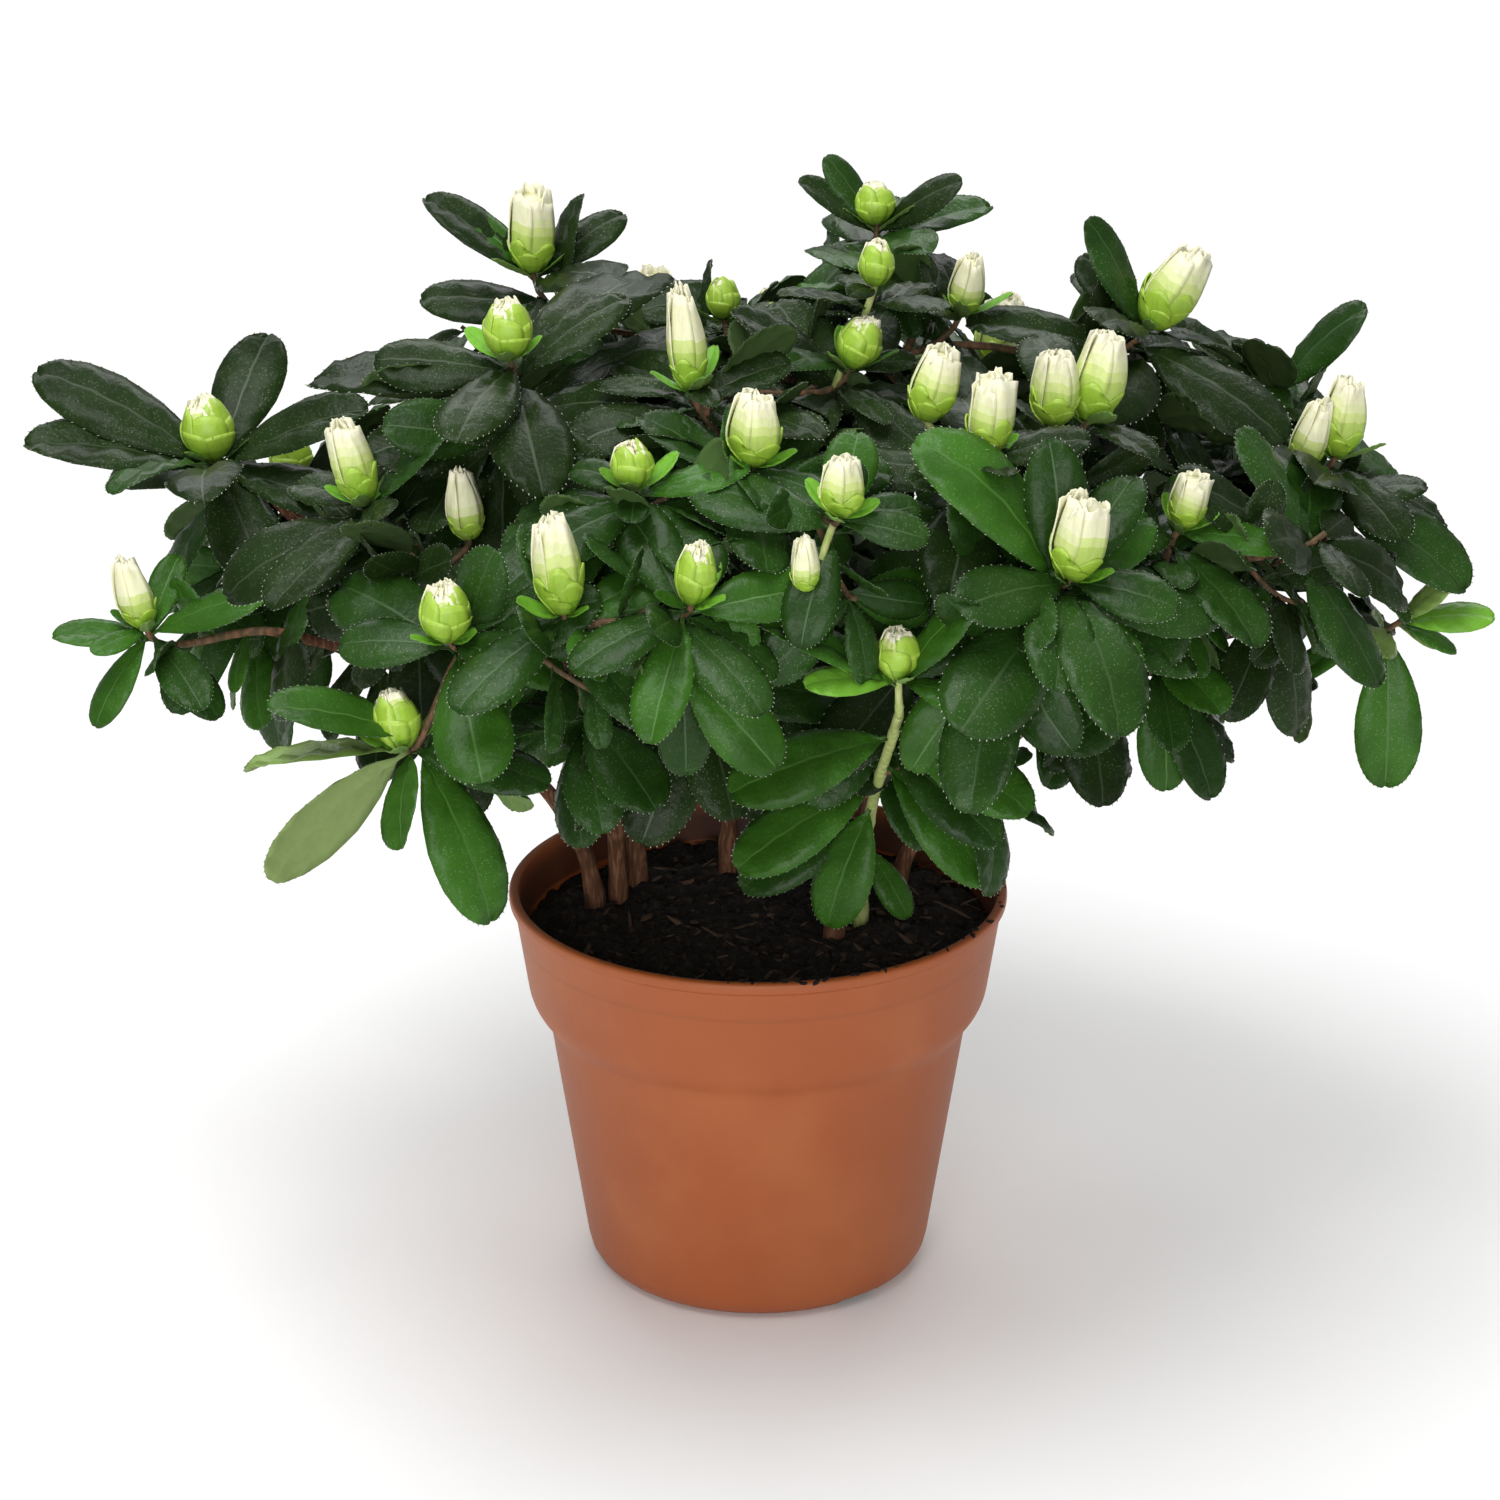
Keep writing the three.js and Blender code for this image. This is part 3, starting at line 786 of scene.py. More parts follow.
SPRAYS = {
    "mass_left_arm": Spray(
        46, "dark", 0.0, 2, [("shut", 17, 14, -3, 0, 0)], 12, (9, -8),
        [
            (-106, 22, 54, "dark"), (-84, 8, 50, "dark"), (160, 38, 42, "dark"),
            (82, 22, 44, "dark"), (25, -34, 42, "dark"), (66, -12, 40, "dark"),
        ],
        (6, 4),
    ),
    "mass_left_front": Spray(
        38, "dark", 0.1, 2,
        [("cream", 21, 11.5, -14, 0, 0), ("white", 18, 10, 0, 25, -8)], None, (-2, 2),
    ),
    "mass_upper_left": Spray(
        51, "dark", 0.0, 2, [("shut", 15, 12.5, 4, 0, 0)], None, (3, 7), (), (9, 5)
    ),
    "mass_top_left": Spray(
        42, "dark", 0.0, 3, [("frilled", 22, 13, 2, 0, 0)], 8, (10, -3),
        [
            (-120, 34, 26, "bright"), (-112, 30, 36, "dark"), (-96, 4, 38, "dark"),
            (98, 6, 38, "dark"), (122, 26, 30, "dark"),
        ],
    ),
    "mass_crown_left": Spray(34, "dark", 0.1, 1, [("white", 25, 10.5, 0, 0, 0)], None, (-1, -1)),
    "mass_front_bud_left": Spray(
        31, "deep", 0.1, 1, [("green", 12, 10.5, 0, 0, 0)], None, (1, 7)
    ),
    "mass_front_bud": Spray(32, "deep", 0.1, 1, [("cream", 18, 14, 0, 0, 0)], None, (-7, 0)),
    "mass_crown_middle": Spray(
        34, "dark", 0.0, 2,
        [("shut", 13.5, 11.5, 22, 0, 0), ("shut", 11.5, 9, 0, 6, 18)], None, (-2, -11),
    ),
    "mass_top_peak": Spray(
        33, "deep", -0.1, 2, [("shut", 11, 11, -5, 0, 0)], None, (3, 4),
        [
            (-60, -40, 30, "deep"), (26, -44, 27, "deep"), (72, 33, 28, "dark"),
            (-86, 34, 25, "dark"), (-112, 52, 24, "deep"),
        ],
    ),
    "mass_crown_centre": Spray(32, "dark", 0.1, 2, [("green", 11, 9, 0, 0, 0)], None, (0, -3)),
    "mass_right_high": Spray(
        36, "dark", 0.1, 1,
        [("cream", 22, 14, 4, 0, 0), ("cream", 19, 13, -8, -9, 0)], None, (3, -2),
    ),
    "mass_front_right_high": Spray(
        34, "dark", 0.1, 1,
        [("frilled", 20, 12, 2, 0, 0), ("cream", 18.5, 12.5, 12, -14, 6)], None, (10, -1),
    ),
    "mass_top_right": Spray(
        42, "dark", 0.0, 2, [("cream", 23, 15, 28, 0, 0)], None, (-3, -3),
        [(-88, 62, 34, "deep"), (-92, 8, 40, "dark")],
    ),
    "mass_crown_back": Spray(34, "dark", 0.0, 1, [("white", 16, 10, 0, 0, 0)], None, (-5, -4)),
    "mass_right_bud": Spray(
        40, "dark", 0.1, 2,
        [("cream", 21, 12.5, 2, 0, 0), ("white", 20, 10, 8, -10, -3)], None, (6, -6),
    ),
    "mass_right_mid": Spray(38, "deep", 0.1, 2, [("frilled", 14, 10, 0, 0, 0)], None, (-6, -3)),
    "mass_front_right": Spray(46, "deep", 0.1, 2, [("frilled", 21, 14, 3, 0, 0)], None, (2, 3)),
    "mass_front_centre": Spray(
        30, "deep", 0.2, 1,
        [("cream", 15, 11.5, 0, 0, 0), ("white", 14, 7.5, 0, -8, -17)], None, (2, 12),
    ),
    "mass_front_shoot": Spray(
        30, "bright", 0.0, 0, [("shut", 12.5, 11.5, 0, 0, 0)], 20, (0, 3),
        [
            (66, -12, 28, "bright"), (-80, 26, 38, "bright"), (72, 50, 32, "bright"),
            (-88, 20, 18, "young"), (-72, 2, 24, "young"),
        ],
        (4, 0),
    ),
    "mass_front_left": Spray(
        36, "deep", 0.1, 1, [("cream", 24, 13, -8, 0, 0)], None, (1, -1),
        [(-50, -28, 36, "deep"), (48, -34, 36, "deep")],
    ),
    "mass_front_mid": Spray(
        34, "deep", 0.2, 1, [("shut", 15.5, 10, 5, 0, 0)], None, (-3, 5),
        [(-66, -22, 32, "deep"), (-20, -48, 33, "bright"), (44, -30, 34, "deep")],
    ),
    "mass_left_low": Spray(
        38, "deep", 0.0, 0, [("shut", 15, 12.5, 0, 0, 0)], None, (4, 5), (), (8, 2)
    ),
    "mass_far_left_low": Spray(
        28, "bright", 0.1, 0, [("white", 19, 10.5, -12, 0, 0)], 10, (-2, -1),
        [
            (-60, -56, 27, "bright"), (-88, 2, 26, "bright"), (78, 20, 35, "bright"),
            (150, 50, 22, "bright"), (60, -44, 28, "deep"), (30, -20, 30, "deep"),
        ],
        (4, 4),
    ),
    "mass_low_left": Spray(
        38, "bright", 0.2, 1, [("shut", 15, 11.5, -10, 0, 0)], 24, (6, 7),
        [
            (-84, -46, 47, "pale"), (-86, -8, 40, "pale"), (60, -66, 46, "bright"),
            (-78, 14, 38, "bright"), (75, -10, 36, "deep"),
        ],
        (4, 1),
    ),
    "mass_far_right": Spray(
        20, "pale", 0.0, 0, (), 40, (7, 2),
        [
            (84, 4, 25, "young"), (8, -84, 42, "bright"), (66, 42, 20, "pale"),
            (-70, -30, 24, "bright"), (95, -30, 18, "bright"),
        ],
        (4, 0),
    ),
    "mass_right_outer": Spray(38, "dark", 0.2, 2, (), None, (-8, 8), (), (8, 4)),
    "mass_low_right": Spray(
        32, "deep", 0.6, 0, (), None, (0, 8),
        [(20, -78, 32, "bright"), (65, -64, 36, "deep"), (100, -50, 34, "dark")], (5, 2),
    ),
    "mass_skirt_right": Spray(34, "deep", 0.7, 0, (), None, (0, 4), (), (5, 3)),
    "mass_skirt_left": Spray(34, "deep", 0.35, 0, (), None, (0, 8), (), (6, 4)),
    "mass_back_right_top": Spray(
        38, "dark", 0.0, 2, (), None, (2, -12), [(66, 46, 37, "deep"), (20, 8, 34, "dark")]
    ),
    "mass_back_left_top": Spray(40, "dark", 0.0, 3, [("cream", 19, 12, -8, 0, 0)], None, (0, -20)),
    "mass_back_top": Spray(38, "dark", 0.0, 3, [("shut", 15, 12, 0, 0, 0)], None, (0, -19)),
    "mass_back_right_high": Spray(
        38, "dark", 0.0, 3, [("cream", 19, 12, 6, 0, 0)], None, (0, -21)
    ),
    "mass_back_left_mid": Spray(40, "deep", 0.1, 2, [("shut", 15, 12, 0, 0, 0)], None, (4, -14)),
    "mass_back_mid": Spray(40, "deep", 0.1, 3, [("frilled", 21, 13, 4, 0, 0)]),
    "mass_back_right_mid": Spray(40, "deep", 0.1, 3, [("cream", 20, 12, -4, 0, 0)]),
    "mass_back_left_low": Spray(38, "bright", 0.3, 2, [("shut", 15, 11, 0, 0, 0)]),
    "mass_back_low": Spray(38, "deep", 0.4, 2),
    "mass_back_right_low": Spray(38, "bright", 0.3, 2, [("white", 18, 10, 0, 0, 0)]),
    "mass_left_back_low": Spray(36, "deep", 0.3, 2),
}
chance = np.random.default_rng(GROWTH_SEED)
UP = np.array((0.0, 0.0, 1.0))


def unit(vector):
    return vector / np.linalg.norm(vector)


def grow(foot, heading, tip, arrival, count):
    """A twig that leaves in one heading and arrives in another."""
    stride = np.linalg.norm(tip - foot) * STRIDE
    a, b = foot + heading * stride, tip - arrival * stride
    t = np.linspace(0, 1, count)[:, None]
    return (
        (1 - t) ** 3 * foot + 3 * (1 - t) ** 2 * t * a + 3 * (1 - t) * t**2 * b + t**3 * tip
    )


def nearest_foot(tip, arrival):
    """The best point of the skeleton to grow from: near, and not above the tip."""

    def effort(spot):
        step = tip - spot[0]
        distance = np.linalg.norm(step)
        if distance < SHORTEST_TWIG:
            return math.inf
        return distance * (1.6 - 0.6 * (step @ arrival) / distance)

    return min(skeleton, key=effort)


twigs, stalks = Bundle(), Bundle()
sprigs = []  # each leafy twig: its path, its mass, and whether it carries the main spray


def add_twig(path, thick, thin, bundle=twigs):
    share = np.linspace(0, 1, len(path))
    radii = thick + (thin - thick) * share
    bundle.add(*tube(path, radii, TWIG_SIDES, bark_relief(len(bundle.faces), 1.2, 0.12, 9)))


waiting = {}
for mass, spray in SPRAYS.items():
    low, high = (np.array(c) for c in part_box(mass))
    centre = (low + high) / 2
    outward = unit(centre * (1, 1, 0))
    lean = spray.lean
    if lean is None:
        lean = CROWN_SLOPE * np.linalg.norm(centre[:2])
    lean = math.radians(min(lean, MOST_LEAN))
    axis = unit(UP * math.cos(lean) + outward * math.sin(lean))
    tip = centre + np.array((spray.move[0], 0, spray.move[1])) * MM
    waiting[mass] = (tip, axis, outward, (high - low).max())
while waiting:
    mass = min(
        waiting,
        key=lambda m: min(np.linalg.norm(waiting[m][0] - spot[0]) for spot in skeleton),
    )
    tip, axis, outward, size = waiting.pop(mass)
    foot, heading, radius = nearest_foot(tip, axis)
    path = grow(foot, unit(heading + 0.5 * unit(tip - foot)), tip, axis, 12)
    bundle = stalks if mass == "mass_front_shoot" else twigs
    add_twig(path, min(radius, TWIG_RADII[0]), TWIG_RADII[1], bundle)
    sprigs.append((path, mass, True))
    directions = np.gradient(path, axis=0)
    skeleton += [(p, unit(d), TWIG_RADII[0]) for p, d in zip(path[2:-3], directions[2:-3])]
    across = np.cross(axis, outward)
    along = np.cross(across, axis)
    for number in range(SPRAYS[mass].sides):
        turn = 2 * math.pi * (number + chance.uniform(0.2, 0.8)) / SPRAYS[mass].sides
        turn += len(mass)  # so that not all sprays have their sides in the same places
        reach = SIDE_REACH * (math.cos(turn) * along + math.sin(turn) * across) * size
        side_tip = tip + reach - axis * chance.uniform(*SIDE_DROP) * MM
        half_way = int(len(path) * 0.5)
        heading = unit(directions[half_way] + unit(reach))
        side = grow(path[half_way], heading, side_tip, unit(axis + 0.7 * unit(reach)), 9)
        add_twig(side, TWIG_RADII[1], TWIG_RADII[1] * SIDE_TAPER)
        sprigs.append((side, mass, False))

# Short leafy twigs in the shade of the crown, each by where its tip is, in millimetres.
INNER_TIPS = [
    (-26, -14, 170), (4, -34, 174), (-6, 22, 160), (30, 16, 164), (-48, 34, 166), (8, 58, 164),
    (-14, -58, 184), (42, -28, 172), (66, 8, 168), (-68, -8, 172), (-30, 62, 172), (46, 56, 170),
    (20, -4, 196), (-44, -44, 192), (84, -24, 186), (-92, 24, 184), (72, 50, 186), (100, 22, 196),
]
for place in INNER_TIPS:
    tip = np.array(place) * MM
    lean = unit(tip * (1, 1, 0)) * 0.5
    foot, heading, _ = nearest_foot(tip, unit(UP + lean))
    path = grow(foot, heading, tip, unit(UP * 0.3 + lean), 9)
    add_twig(path, TWIG_RADII[1], TWIG_RADII[1] * SIDE_TAPER)
    sprigs.append((path, None, False))

# Where each bud stands: its foot, its direction, its size, its twig and its number on it, the
# side that it is lit from, and how far in front of it no leaf may stand. A second bud has a
# stalk of its own, or a twig where it stands far off.
BACK_OF_CROWN = 0.075  # from here on back, buds are lit from outside and not from the front
FRONT_LIGHT = np.array((0.0, -0.93, 0.36))
CLEAR_IN_FRONT, CLEAR_BEHIND = 0.13, 0.04
BUD_FATNESS = 0.44  # radius of a bud for each part of its stated width
SECOND_DEPTH = (7, -4)  # how far behind the first a second bud stands, when raised and when not
STALK_RADIUS = 0.9 * MM
STALK_REACH = 22 * MM
BudPlace = namedtuple("BudPlace", "foot stand size kind twig mass number light clear")
bud_places = []
for twig, mass, is_main in sprigs:
    if not is_main:
        continue
    axis = unit(twig[-1] - twig[-2])
    light, clear = FRONT_LIGHT, CLEAR_IN_FRONT
    if twig[-1][1] > BACK_OF_CROWN:
        light, clear = unit(unit(twig[-1] * (1, 1, 0)) + 0.4 * UP), CLEAR_BEHIND
    for number, (kind, height, width, tilt, right, above) in enumerate(SPRAYS[mass].buds):
        tilt = math.radians(tilt)
        stand = UP * math.cos(tilt) + np.array((math.sin(tilt), 0, 0))
        stand = unit(stand + 0.25 * axis + 0.06 * chance.normal(0, 1, 3))
        depth = SECOND_DEPTH[0 if above > 3 else 1] if number else 0
        foot = twig[-1] + np.array((right, depth, above)) * MM
        size = (width * BUD_FATNESS * MM, width * BUD_FATNESS * MM, height * MM)
        bud_places.append(BudPlace(foot, stand, size, kind, twig, mass, number, light, clear))
for bud in bud_places:
    if bud.number == 0:
        continue
    if np.linalg.norm(bud.foot - bud.twig[-1]) > STALK_REACH:
        start, heading, _ = nearest_foot(bud.foot, bud.stand)
        own_twig = grow(start, unit(heading + bud.stand), bud.foot, bud.stand, 9)
        add_twig(own_twig, TWIG_RADII[1], TWIG_RADII[1])
        continue
    start = bud.twig[-3]
    way = unit(bud.foot - start)
    stalk = grow(start, way, bud.foot, unit(way + 0.5 * bud.stand), 8)
    stalks.add(*tube(stalk, [STALK_RADIUS] * 8, TWIG_SIDES, bark_relief(3, 1, 0.05, 3)))

twig_bark = Finish("twig_bark", Roughness=0.75, Specular_IOR_Level=0.35)
twig_streaks = twig_bark.mottle(700, 3.0, (1, 1, 0.3))
twig_bark.set(
    "Base Color", twig_bark.blend(twig_streaks.above(0.4, 0.7), TWIG_BARK, BARK_LIGHT)
)
twig_bark.relief(twig_streaks, 0.5, 0.0004)
twig_piece = mesh_piece("twigs", twigs.points, twigs.faces)
twig_piece.data.materials.append(twig_bark.material)
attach(twig_piece, "root")
stalk_piece = mesh_piece("bud_stalks", stalks.points, stalks.faces)
stalk_piece.data.materials.append(sap.material)
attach(stalk_piece, "root")

# --- Leaves ----------------------------------------------------------------------------------
# Small evergreen leaves, widest past the middle and wedge-shaped at the foot, in whorls round
# each bud and up the twigs below it. The blade is pleated by side veins that curve forward and
# creased along its midrib, satin above and paler beneath, with a pale fringe of stiff hairs.
LEAF_COLUMNS = (-1, -0.74, -0.40, -0.035, 0.035, 0.40, 0.74, 1)
LEAF_ROWS = 12
PETIOLE = 0.07  # a share of the leaf's length, as the sizes down to its hairs are
PETIOLE_HALF = 0.016
LEAF_FOOT_HALF = 0.012
LEAF_WEDGE = 0.86  # how narrow the foot of the blade is
LEAF_THICKNESS = 0.009
PLEATS = (-0.015, 0.018)  # depth of the furrow over each side vein, and height between two
VEIN_SWEEP = 0.15  # how far the side veins run forward on their way to the edge
MIDRIB_DEPTH = 0.009
FRINGE_HAIRS = 17  # on each side
HAIR_HALF, HAIR_LENGTH = 0.0055, 0.014
PARTS = {"blade": 0, "rib": 1, "hair": 2, "under": 3}
INNER_STEP = 5  # limb steps between two inner leaves
INNER_LOWEST, INNER_FRONT = 0.155, -0.05  # the height and depth that they start from
INNER_LEAF = (30, 40)
# Leaves up the young front shoot: how far up it, turn from the front, rise, length and colour.
SHOOT_LEAVES = [
    (0.20, 60, -55, 22, "bright"),
    (0.34, -78, -28, 38, "deep"),
    (0.40, -66, -70, 34, "bright"),
    (0.46, 84, -30, 30, "deep"),
    (0.55, -76, -30, 42, "bright"),
    (0.68, 74, -48, 40, "bright"),
    (0.78, 62, -34, 36, "deep"),
    (0.86, -80, -18, 42, "bright"),
    (0.93, 60, -24, 40, "bright"),
]


def shell(top, under):
    """A thin closed skin between two grids of points, and which grid each face is on."""
    rows, columns = top.shape[:2]
    count = rows * columns
    grid = np.arange(count).reshape(rows, columns)
    faces, spots = [], []
    for i in range(rows - 1):
        for j in range(columns - 1):
            # Both skins are split along the same diagonal, so neither comes through the other.
            near, far = (grid[i, j], grid[i, j + 1]), (grid[i + 1, j], grid[i + 1, j + 1])
            for face in ((near[0], near[1], far[1]), (near[0], far[1], far[0])):
                faces.append(face)
                spots.append(("top", i, j))
                faces.append(tuple(count + k for k in reversed(face)))
                spots.append(("under", i, j))
    rim = [*grid[0, :], *grid[1:, -1], *grid[-1, -2::-1], *grid[-2:0:-1, 0]]
    for a, b in zip(rim, rim[1:] + rim[:1]):
        faces.append((b, a, count + a, count + b))
        spots.append(("edge", 0, 0))
    return np.vstack([top.reshape(-1, 3), under.reshape(-1, 3)]), faces, spots


def leaf_shape(name, width, blunt, bend, fold, twist, wave):
    """One leaf of unit length along +Y, facing +Z. blunt is how rounded its tip is, bend its
    turn down from foot to tip, fold the rise of each half from the midrib, in degrees."""
    even = np.linspace(0, 1, LEAF_ROWS)
    levels = 0.045 + 0.947 * (0.5 * even + 0.25 * (1 - np.cos(math.pi * even)))
    along = [0, PETIOLE, *(PETIOLE + (1 - PETIOLE) * levels)]
    top = np.zeros((len(along), len(LEAF_COLUMNS), 3))
    under = np.zeros_like(top)
    spine_steps = np.linspace(0, 1, 200)
    slope = np.radians(bend) * (0.5 - spine_steps**1.4)
    strides = len(spine_steps) - 1
    spine_y = np.concatenate([[0], np.cumsum(np.cos(slope[:-1])) / strides])
    spine_z = np.concatenate([[0], np.cumsum(np.sin(slope[:-1])) / strides])
    peak = LEAF_WEDGE / (LEAF_WEDGE + blunt)
    full = peak**LEAF_WEDGE * (1 - peak) ** blunt
    for i, level in enumerate(along):
        for j, column in enumerate(LEAF_COLUMNS):
            blade = (level - PETIOLE) / (1 - PETIOLE)
            here, half, pleat = level, PETIOLE_HALF, 0.0
            if i >= 2:
                # Each row sweeps forward to the edge, as the side veins do.
                sweep = VEIN_SWEEP * abs(column) ** 1.3 * math.sin(math.pi * min(blade, 1))
                blade = min(blade + sweep, 0.997)
                here = PETIOLE + blade * (1 - PETIOLE)
                swell = width / 2 * blade**LEAF_WEDGE * (1 - blade) ** blunt / full
                half = LEAF_FOOT_HALF + swell
                if i < len(along) - 1:
                    pleat = PLEATS[i % 2] * (1 - (abs(column) - 0.5) ** 2 * 3.4)
            x = column * half
            rise = abs(x) * math.tan(math.radians(fold)) - 1.9 * x * x + pleat
            rise += wave * column**2 * math.sin(7 * blade + 3 * column)
            if abs(column) < 0.1:
                rise -= MIDRIB_DEPTH
            slant = np.interp(here, spine_steps, slope)
            base = np.array(
                (0, np.interp(here, spine_steps, spine_y), np.interp(here, spine_steps, spine_z))
            )
            normal = np.array((0, -math.sin(slant), math.cos(slant)))
            roll = math.radians(twist) * here
            side = np.array((math.cos(roll), 0, 0)) + normal * math.sin(roll)
            face = normal * math.cos(roll) - np.array((math.sin(roll), 0, 0))
            top[i, j] = base + side * x + face * rise
            under[i, j] = top[i, j] - face * LEAF_THICKNESS * (0.4 if abs(column) == 1 else 1)
    points, faces, spots = shell(top, under)
    middle = len(LEAF_COLUMNS) // 2 - 1
    parts = []
    for where, i, j in spots:
        if where == "under":
            parts.append(PARTS["under"])
        else:
            parts.append(PARTS["rib" if where == "top" and (j == middle or i < 1) else "blade"])
    # The fringe: short stiff hairs that lean towards the tip.
    points, faces = list(points), list(faces)
    for side, inner_side in ((0, 1), (-1, -2)):
        outline, inner = top[2:, side], top[2:, inner_side]
        for share in np.linspace(0.02, 0.97, FRINGE_HAIRS):
            at = share * (len(outline) - 1)
            low = min(int(at), len(outline) - 2)
            root = outline[low] + (outline[low + 1] - outline[low]) * (at - low)
            forward = unit(outline[low + 1] - outline[low])
            outwards = unit(root - inner[low] - (inner[low + 1] - inner[low]) * (at - low))
            lift = np.cross(forward, outwards) * (1 if side == 0 else -1)
            first = len(points)
            points += [
                root - HAIR_HALF * forward,
                root + HAIR_HALF * forward,
                root + 0.004 * lift,
                root + HAIR_LENGTH * unit(outwards + 0.8 * forward) + 0.003 * lift,
            ]
            turned = [(0, 1, 2), (0, 3, 1), (1, 3, 2), (2, 3, 0)]
            if side == -1:
                turned = [f[::-1] for f in turned]
            faces += [tuple(first + k for k in f) for f in turned]
            parts += [PARTS["hair"]] * 4
    piece = mesh_piece(name, points, faces)
    number_parts(piece, parts)
    return piece


leaf_shapes = [
    leaf_shape("leaf_a_broad", 0.47, 0.56, 34, 14, 0, 0.012),
    leaf_shape("leaf_b_drooping", 0.43, 0.60, 60, 17, 10, 0.014),
    leaf_shape("leaf_c_folded", 0.45, 0.60, 28, 25, -8, 0.010),
    leaf_shape("leaf_d_flat", 0.49, 0.54, 20, 10, 6, 0.016),
    leaf_shape("leaf_e_twisted", 0.42, 0.62, 44, 15, 22, 0.014),
    leaf_shape("leaf_f_young", 0.36, 0.60, -14, 26, 0, 0.006),
]
leaf_store = stock("leaf_shapes", leaf_shapes)
LEAF_YOUNG = 5

# Leaf colours, dealt out by spray: blade, midrib and underside.
LEAF_COLOURS = {
    "dark": ((0.0078, 0.0190, 0.0030), (0.017, 0.036, 0.007), (0.055, 0.100, 0.026)),
    "deep": ((0.0112, 0.0370, 0.0038), (0.024, 0.066, 0.009), (0.070, 0.135, 0.032)),
    "bright": ((0.0225, 0.0770, 0.0058), (0.047, 0.135, 0.014), (0.125, 0.215, 0.050)),
    "young": ((0.0950, 0.2400, 0.0180), (0.160, 0.340, 0.045), (0.180, 0.310, 0.070)),
    "pale": ((0.1250, 0.2000, 0.0450), (0.180, 0.270, 0.080), (0.200, 0.280, 0.090)),
}
HAIR = (0.42, 0.46, 0.34)
# What a spray's own colour turns to here and there.
LEAF_NEIGHBOURS = {
    "dark": "deep", "deep": "bright", "bright": "deep", "young": "bright", "pale": "bright"
}


def leaf_finishes(colour):
    """The four finishes of a leaf of that colour."""
    blade_colour, rib_colour, under_colour = LEAF_COLOURS[colour]
    gloss = 0.12 if colour == "dark" else 0.17
    blade = Finish("leaf_blade_" + colour, Specular_IOR_Level=gloss)
    patches = blade.mottle(46, 2.0)
    skin = blade.mottle(700, 3.0)
    lighter = tuple(c * 1.75 + 0.003 for c in blade_colour)
    green = blade.blend(patches.above(0.35, 0.7), blade_colour, lighter)
    hairs = (1 - blade.specks(1250).above(0.10, 0.26)) * (0.07 + patches.above(0.4, 0.65) * 0.2)
    blade.set("Base Color", blade.blend(hairs, green, HAIR))
    blade.set("Roughness", 0.24 + skin * 0.18)
    blade.relief(skin, 0.45, 0.0005)
    rib = Finish("leaf_rib_" + colour, Base_Color=rib_colour, Roughness=0.5)
    hair = Finish("leaf_hair_" + colour, Base_Color=HAIR, Roughness=0.7)
    under = Finish("leaf_underside_" + colour, Roughness=0.7, Specular_IOR_Level=0.3)
    net = under.mottle(520, 3.0)
    under.set(
        "Base Color", under.blend(net, under_colour, tuple(c * 0.8 for c in under_colour))
    )
    under.relief(net, 0.4, 0.0004)
    return [blade, rib, hair, under]


NEIGHBOUR_CHANCE = 0.16
CROWDED = 0.84  # cosine of the angle round a leaf set apart that others leave free
LEAST_TO_CLEAR = 0.018  # a shorter leaf hides nothing
LEAF_OUTLINE = ((0.3, 0.13), (0.55, 0.19), (0.8, 0.16), (0.97, 0.02))  # half its width, up it
JUST_BEHIND = -0.005
BUD_ROOM = (0.75, 0.35)  # round a first and a second bud, as a share of its radius
BUD_EASE = (1.05, 0.8)  # and how much of the leaf's width is counted
OLD_SHAPES = (0.3, 0.22, 0.2, 0.16, 0.12)  # how common each shape but the youngest is
SHADED = Spray(36, "dark", 0.5)  # what a twig without a mass carries
SECOND_WHORL = (6, 24 * MM)  # number and length of the leaves under a raised second bud
YOUNG_LEAVES = 3
YOUNG_SIZES = (9, 15)
APART_SLIM, SHOOT_SLIM = 0.86, 0.92
leaves = {colour: [] for colour in LEAF_COLOURS}  # place, turn, size, shape and mass of each


def set_apart(turn, rise):
    """Level and full direction of a leaf that has its own turn and rise, in degrees."""
    turn, rise = math.radians(turn), math.radians(rise)
    level = np.array((math.sin(turn), -math.cos(turn), 0.0))
    return level, level * math.cos(rise) + UP * math.sin(rise)


# Directions that a spray keeps for the leaves that stand apart.
apart = {
    mass: [set_apart(*leaf[:2])[1] for leaf in spray.loose]
    for mass, spray in SPRAYS.items()
}


def hides_a_bud(foot, heading, length):
    """Whether a leaf would stand in the light of a bud. Leaves part round the buds."""
    for bud in bud_places:
        order = min(bud.number, 1)
        room = BUD_ROOM[order] * bud.size[0]
        for share, half in LEAF_OUTLINE:
            spot = foot + heading * length * share
            for level in (0.25, 0.75):
                gap = spot - bud.foot - bud.stand * bud.size[2] * level
                ahead = gap @ bud.light
                if JUST_BEHIND < ahead < bud.clear:
                    aside = np.linalg.norm(gap - ahead * bud.light)
                    if aside < room + half * length * BUD_EASE[order]:
                        return True
    return False


def add_leaf(colour, mass, foot, heading, facing, length, shape, slim=1.0):
    """A leaf from foot along heading, with its upper side towards facing. A slim one stands
    apart: it keeps its colour, and makes way for nothing."""
    by_rule = slim == 1.0
    if by_rule and chance.random() < NEIGHBOUR_CHANCE:
        colour = LEAF_NEIGHBOURS[colour]
    along = unit(heading)
    if by_rule and length > LEAST_TO_CLEAR:
        crowded = any(along @ other > CROWDED for other in apart.get(mass, ()))
        if crowded or hides_a_bud(foot, along, length):
            return
    side = unit(np.cross(along, facing))
    turn = Matrix((side, along, np.cross(side, along))).transposed()
    wide = length * slim * chance.uniform(0.9, 1.08)
    leaves[colour].append((foot, turn.to_euler(), (wide, length, length), shape, mass))


